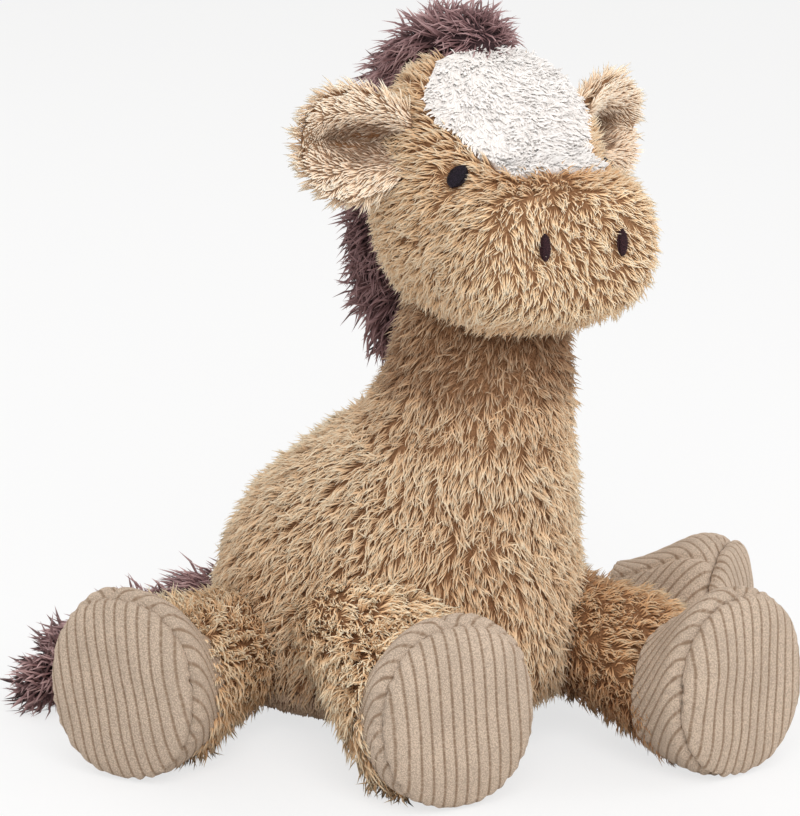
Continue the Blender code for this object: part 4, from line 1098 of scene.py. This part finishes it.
earPieces = {}
for index, (label, (side, rows, name)) in enumerate(ear["places"].items()):
    place = Matrix(rows)
    vertices, faces = earGrid(side, 0.0, -ear["wall"])
    back = addMesh(f"earBack{label}", [place @ Vector(v) for v in vertices], faces)
    outer = place.to_3x3() @ Vector((0, side, 0))
    if back.data.polygons[200].normal.dot(outer) < 0:
        back.data.flip_normals()
    rootTo = place.to_3x3() @ Vector((1, 0, 0))
    middle = place @ Vector((ear["length"] * 0.45, 0, 0))
    toEar = place.inverted()

    def earRule(co, rootTo=rootTo, middle=middle):
        return rootTo + (co - middle) * 14, 1.0, 0.0 if depthIn(headTree, co) > 0.003 else 1.0, 0.0

    def napRule(co, rootTo=rootTo, middle=middle, toEar=toEar, side=side):
        local = toEar @ co
        station = min(max(local.x / ear["length"], 0.0), 1.0)
        half = max(mix(ear["rootWidth"], ear["width"], earShape(station)[0]) / 2, 0.0045)
        edge = max(abs(local.z) / half, smoothStep(0.70, 1.0, station))
        # painted shade deepens the nap away from the lips toward the middle of the cup and along the crease
        shade = smoothStep(0.80, 0.25, edge) * smoothStep(1.0, 0.72, station)
        near = nearPit(station, local.z, ear["pitSpread"] * 1.4)
        shade = min(0.75 * shade + 0.9 * near * smoothStep(0.95, 0.4, station), 1.0)
        cover = 0.0 if depthIn(headTree, co) > 0.002 else 1.0
        return rootTo * 0.7 + (co - middle) * 26, mix(1.0, 0.62, near), cover, shade

    combSkin(back, earRule)
    thicken(back, ear["wall"])

    # the outer face and the rim carry the pile, the inner face stays under the lining
    def outerFace(co, side=side, toEar=toEar):
        local = toEar @ co
        share = min(max(local.x / ear["length"], 0.0), 1.0)
        size, deep = earShape(share)
        half = mix(ear["rootWidth"], ear["width"], size) / 2
        sheet = ear["cup"] * deep * math.cos(min(abs(local.z / max(half, 0.004)), 1.0) * math.pi / 2) + earPit(share, local.z)
        return side * local.y > sheet + ear["wall"] * 0.3

    pile = growPile(f"earPile{label}", back, dict(earSettings, Seed=71 + index), finishes["earPile"], outerFace)
    vertices, faces = earGrid(side, ear["margin"], ear["lining"], 1.0)
    lining = addMesh(f"earLining{label}", [place @ Vector(v) for v in vertices], faces)
    if lining.data.polygons[150].normal.dot(outer) > 0:
        lining.data.flip_normals()
    combSkin(lining, napRule)
    nap = growPile(f"earNap{label}", lining, dict(napSettings, Seed=75 + index), finishes["earNap"])
    thicken(lining, ear["lining"])
    earPieces[label] = (back, pile, lining, nap, name)
    print("ear", label, len(pile.data.polygons), len(nap.data.polygons))

# Mane.
mane = {
    "width": 0.058, "thickness": 0.026, "inset": 0.0040,
    # along, height, width, thickness
    "rings": ((0.60, 0.90, 0.32, 0.50), (0.66, 0.955, 0.56, 0.95), (0.80, 0.985, 0.78, 1.15), (0.94, 0.90, 0.96, 1.30),
              (1.03, 0.72, 1.05, 1.6),
              (1.06, 0.46, 1.05, 2.0), (1.065, 0.18, 1.0, 1.9), (1.04, -0.04, 0.80, 1.4), (1.0, -0.17, 0.40, 0.60)),
}
maneSettings = {"Spacing": 0.00108, "Density": 1300000.0, "Length": 0.0125, "Slimness": 0.040, "Lean": 0.50, "Bend": 0.55,
                "Clump Size": 0.0050, "Clump Pull": 0.9, "Wildness": 0.70, "Unevenness": 0.5, "Seed": 81}


def maneRings():
    path = [Vector((0, -head["nose"] + head["length"] * along, headBase + head["height"] * height)) for along, height, _,
            _ in mane["rings"]]
    rings = []
    for index, (_, _, width, thickness) in enumerate(mane["rings"]):
        run = path[min(index + 1, len(path) - 1)] - path[max(index - 1, 0)]
        up = run.normalized().cross(Vector((1, 0, 0))) * (mane["thickness"] / 2 * thickness)
        rings.append((path[index], Vector((mane["width"] / 2 * width, 0, 0)), up, 2.0, 0.0))
    return rings


maneSkin = ringForm("maneSkin", maneRings(), 16, headPlace, mane["inset"], 2)


def maneRule(place):
    local = toHead @ place
    comb = headPlace.to_3x3() @ Vector((local.x * 14, 0.35, -0.8))
    cover = 0.0 if depthIn(headTree, place) > 0.001 or depthIn(bodyTree, place) > 0.0 else 1.0
    length = mix(0.70, 1.0, smoothStep(0.006, 0.030, local.y)) * mix(1.0, 1.4, smoothStep(0.225, 0.190, place.z))
    # the colour deepens a little all over and, as painted shade, strongly low on the nape
    return comb, length, cover, 0.2 + 0.8 * smoothStep(0.290, 0.240, place.z)


combSkin(maneSkin, maneRule)
manePile = growPile("manePile", maneSkin, maneSettings, finishes["darkPile"])
print("mane pile", len(manePile.data.polygons))

# Tail.
tail = {
    "length": 0.174, "radius": 0.021, "rootHeight": 0.040, "bow": 0.014, "inset": 0.0085, "heading": -168.0,
    "root": (0.0, 0.11169, 0.040),
    "rings": ((-0.05, 0.30, 0.0), (-0.01, 0.53, 0.0), (0.12, 0.68, 0.22), (0.32, 0.96, 0.70), (0.58, 1.0, 1.0),
              (0.84, 0.82, 1.0), (0.98, 0.55, 1.0)),
}
tailSettings = {"Spacing": 0.0011, "Density": 1200000.0, "Length": 0.0160, "Slimness": 0.038, "Lean": 0.80, "Bend": 0.4,
                "Clump Size": 0.007, "Clump Pull": 0.75, "Wildness": 0.5, "Unevenness": 0.5, "Seed": 91}
tailPlace = Matrix.Translation(tail["root"]) @ Matrix.Rotation(math.radians(tail["heading"]), 4, "Z")


def tailRings():
    rings = []
    for along, size, sunk in tail["rings"]:
        radius = tail["radius"] * size
        drop = mix(0.0, tail["rootHeight"] - radius + 0.0005, sunk)
        centre = Vector((tail["length"] * along, -tail["bow"] * math.sin(math.pi * max(along, 0.0)), -drop))
        rings.append((centre, Vector((0, radius, 0)), Vector((0, 0, radius)), 2.0, 0.0))
    return rings


tailSkin = ringForm("tailSkin", tailRings(), 14, tailPlace, tail["inset"], 2)
keepAbove(tailSkin, floorGap["tail"])


def tailRule(place):
    cover = 0.0 if depthIn(bodyTree, place) > 0.001 or place.z < 0.0008 else 1.0
    return tailPlace.to_3x3() @ Vector((1, 0, -0.1)), 1.0, cover, 0.0


combSkin(tailSkin, tailRule)
tailPile = growPile("tailPile", tailSkin, tailSettings, finishes["darkPile"])
print("tail pile", len(tailPile.data.polygons))

# Eyes and nostrils: satin stitch laid over an oval pad.
stitch = {"thread": 0.00048, "pad": 0.0016, "slant": math.radians(13), "sunk": 0.0032}


def buildSatinTree():
    tree, given, result = newGeometryTree("satinStitch", (
        ("Width", "NodeSocketFloat", 0.008),
        ("Height", "NodeSocketFloat", 0.011),
        ("Thread", "NodeSocketFloat", 0.0005),
        ("Dome", "NodeSocketFloat", 0.001),
        ("Finish", "NodeSocketMaterial", None),
    ))
    g = given.outputs
    count = plus(tree, calc(tree, "FLOOR", over(tree, g["Height"], times(tree, g["Thread"], 0.8))), 1.0)
    line = put(tree, "GeometryNodeMeshLine", {"Count": count}, mode="OFFSET")
    gap = over(tree, g["Height"], count)
    start = put(tree, "ShaderNodeCombineXYZ", {"Y": times(tree, less(tree, g["Height"], gap), -0.5)})
    step = put(tree, "ShaderNodeCombineXYZ", {"Y": gap})
    tree.links.new(start.outputs[0], line.inputs["Start Location"])
    tree.links.new(step.outputs[0], line.inputs["Offset"])
    spot = put(tree, "ShaderNodeSeparateXYZ", {"Vector": put(tree, "GeometryNodeInputPosition").outputs[0]})
    share = over(tree, spot.outputs["Y"], times(tree, g["Height"], 0.5))
    roundness = calc(tree, "SQRT", calc(tree, "MAXIMUM", less(tree, 1.0, times(tree, share, share)), 0.02))
    chance = put(tree, "FunctionNodeRandomValue", {2: 0.92, 3: 1.04, "Seed": 5}, data_type="FLOAT").outputs[1]
    half = times(tree, times(tree, times(tree, g["Width"], 0.5), roundness), chance)
    lift = put(tree, "ShaderNodeCombineXYZ", {"Z": times(tree, g["Dome"], roundness)})
    raised = put(tree, "GeometryNodeSetPosition", {"Geometry": line.outputs[0], "Offset": lift.outputs[0]})
    thread = put(tree, "GeometryNodeMeshUVSphere", {"Segments": 8, "Rings": 8, "Radius": 1.0})
    girth = times(tree, g["Thread"], 0.62)
    size = put(tree, "ShaderNodeCombineXYZ", {"X": half, "Y": girth, "Z": plus(tree, girth, times(tree, g["Dome"], 0.5))})
    laid = put(tree, "GeometryNodeInstanceOnPoints",
               {"Points": raised.outputs[0], "Instance": thread.outputs["Mesh"], "Scale": size.outputs[0]})
    real = put(tree, "GeometryNodeRealizeInstances", {"Geometry": laid.outputs[0]})
    smooth = put(tree, "GeometryNodeSetShadeSmooth", {"Geometry": real.outputs[0]})
    finish = put(tree, "GeometryNodeSetMaterial", {"Geometry": smooth.outputs[0], "Material": g["Finish"]})
    tree.links.new(finish.outputs[0], result.inputs[0])
    return tree


satinTree = buildSatinTree()


def buildSatin(name, spot, width, height, finish, tilt=0.0):
    piece = addMesh(name, [(0, 0, 0)], [])
    runTree(piece, satinTree, {"Width": width, "Height": height, "Thread": stitch["thread"], "Dome": 0.0012, "Finish": finish})
    # an oval pad under the threads
    bm = bmesh.new()
    bm.from_mesh(piece.data)
    pad = bmesh.ops.create_uvsphere(bm, u_segments=24, v_segments=12, radius=1.0)
    bmesh.ops.scale(bm, vec=(width / 2 * 0.97, height / 2 * 0.97, stitch["pad"]), verts=pad["verts"])
    bm.to_mesh(piece.data)
    bm.free()
    piece.data.shade_smooth()
    place, normal = spot
    turn = normal.to_track_quat("Z", "Y").to_matrix().to_4x4() @ Matrix.Rotation(tilt, 4, "Z")
    piece.data.transform(Matrix.Translation(place - normal * stitch["sunk"]) @ turn)
    return piece


facePieces = []
for side, sign in (("Right", 1), ("Left", -1)):
    eye = buildSatin(f"eye{side}", eyeSpots[side], head["eyeWidth"], head["eyeHeight"], finishes["eyeThread"],
                     -sign * stitch["slant"])
    nostril = buildSatin(f"nostril{side}", nostrilSpots[side], head["nostrilWidth"], head["nostrilHeight"],
                         finishes["nostrilThread"])
    facePieces += [(eye, f"eye_{side.lower()}", "eye_thread"), (nostril, f"nostril_{side.lower()}", "nostril_thread")]
bpy.data.objects.remove(headForm, do_unlink=True)
print("face ready")

# Each piece takes its finish and rides on its body, and the CAD parts it replaces are hidden.
for skin, finish in ((bodySkin, "bodyBacking"), (headSkin, "bodyBacking"), (maneSkin, "darkBacking"), (tailSkin, "darkBacking"),
                     (blazeSkin, "whiteBacking"), (seatPanel, "seatBacking")):
    skin.data.materials.clear()
    skin.data.materials.append(finishes[finish])
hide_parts("body_cover", "body_stuffing", "seat_pellet_bag")
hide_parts("seat_panel")
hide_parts("head_cover", "head_stuffing")
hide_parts("blaze")
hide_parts("mane")
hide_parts("tail")
for piece in [bodySkin, seatPanel, seatPile] + bodyPiles:
    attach(piece, "torso")
for piece in (headSkin, headPileRight, headPileLeft, blazeSkin, blazePile, maneSkin, manePile):
    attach(piece, "head")
for piece in (tailSkin, tailPile):
    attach(piece, "tail")
for piece, node, material in facePieces:
    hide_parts(node)
    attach(piece, "head")
for back, pile, lining, nap, name in earPieces.values():
    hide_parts(name.replace("ear_", "ear_back_"))
    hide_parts(name.replace("ear_", "ear_lining_"))
    for piece, material, finish in ((back, "tan_plush", "bodyBacking"), (pile, "tan_plush", None),
                                    (lining, "ear_nap", "napBacking"), (nap, "ear_nap", None)):
        if finish:
            piece.data.materials.append(finishes[finish])
        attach(piece, name)
for label, (skin, pile, upper, sole) in legPieces.items():
    hip, heading, name = leg["places"][label][:3]
    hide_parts(f"leg_cover_{name}", f"leg_stuffing_{name}")
    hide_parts(f"hoof_upper_{name}")
    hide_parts(f"hoof_sole_{name}")
    for piece in (skin, pile):
        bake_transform(piece)
    for piece in (upper, sole):
        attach(piece, f"leg_{name}")
print("pieces placed")

# Floor, light and camera.
studio = {"azimuth": -32.0, "elevation": 14.0, "distance": 2.2, "target": (0, 0, 0.148), "perPixel": 0.00048, "imageLong": 816,
          "world": 0.66, "floorGlow": 0.72, "aim": (0, 0, 0.14),
          # name, place, size and power
          "lamps": (("key", (-0.7, -1.5, 1.5), 1.4, 24.0), ("fill", (1.6, -0.9, 0.9), 1.6, 10.0),
                    ("rim", (-0.4, 1.6, 1.3), 1.2, 6.0))}


def whiteForCamera(tree, strength):  # the floor and the sky look white, whatever light they give
    path = put(tree, "ShaderNodeLightPath")
    seen = calc(tree, "MAXIMUM", path.outputs["Is Camera Ray"],
                calc(tree, "MAXIMUM", path.outputs["Is Glossy Ray"], path.outputs["Is Transmission Ray"]))
    return times(tree, seen, strength)


def buildStudio():
    world = bpy.data.worlds.new("studio")
    scene.world = world
    world.use_nodes = True
    tree = world.node_tree
    tree.nodes.clear()
    out = put(tree, "ShaderNodeOutputWorld")
    white = put(tree, "ShaderNodeBackground", {"Color": (1, 1, 1, 1), "Strength": 1.0})
    soft = put(tree, "ShaderNodeBackground", {"Color": (1.0, 0.99, 0.98, 1), "Strength": studio["world"]})
    blend = put(tree, "ShaderNodeMixShader", {0: whiteForCamera(tree, 1.0)})
    tree.links.new(soft.outputs[0], blend.inputs[1])
    tree.links.new(white.outputs[0], blend.inputs[2])
    tree.links.new(blend.outputs[0], out.inputs["Surface"])

    floor = addMesh("floor", [(-6, -6, -0.0005), (6, -6, -0.0005), (6, 6, -0.0005), (-6, 6, -0.0005)], [(0, 1, 2, 3)],
                    smooth=False)
    material = bpy.data.materials.new("paper")
    material.use_nodes = True
    tree = material.node_tree
    shader = tree.nodes["Principled BSDF"]
    shader.inputs["Base Color"].default_value = (0.86, 0.86, 0.86, 1)
    shader.inputs["Roughness"].default_value = 0.9
    shader.inputs["Specular IOR Level"].default_value = 0.1
    glow = put(tree, "ShaderNodeEmission", {"Color": (1, 1, 1, 1), "Strength": 1.0})
    both = put(tree, "ShaderNodeMixShader", {0: whiteForCamera(tree, studio["floorGlow"])})
    tree.links.new(shader.outputs[0], both.inputs[1])
    tree.links.new(glow.outputs[0], both.inputs[2])
    tree.links.new(both.outputs[0], tree.nodes["Material Output"].inputs["Surface"])
    floor.data.materials.append(material)

    for name, place, size, power in studio["lamps"]:
        lamp = bpy.data.lights.new(name, "AREA")
        lamp.energy, lamp.size, lamp.shape = power, size, "DISK"
        holder = bpy.data.objects.new(name, lamp)
        scene.collection.objects.link(holder)
        holder.location = place
        holder.rotation_mode = "QUATERNION"
        holder.rotation_quaternion = (Vector(studio["aim"]) - Vector(place)).to_track_quat("-Z", "Y")

    lens = bpy.data.cameras.new("camera")
    camera = bpy.data.objects.new("camera", lens)
    scene.collection.objects.link(camera)
    azimuth, elevation = math.radians(studio["azimuth"]), math.radians(studio["elevation"])
    back = Vector((math.sin(azimuth) * math.cos(elevation), -math.cos(azimuth) * math.cos(elevation), math.sin(elevation)))
    camera.location = Vector(studio["target"]) + back * studio["distance"]
    camera.rotation_mode = "QUATERNION"
    camera.rotation_quaternion = (-back).to_track_quat("-Z", "Y")
    lens.sensor_width = 36.0
    lens.lens = 36.0 * studio["distance"] / (studio["imageLong"] * studio["perPixel"])
    lens.clip_start, lens.clip_end = 0.1, 20.0
    scene.camera = camera
    scene.view_settings.view_transform = "Standard"


buildStudio()
triangles = sum(len(p.vertices) - 2 for o in horse.objects if o.name != "floor" for p in o.data.polygons)
print("triangles", triangles)
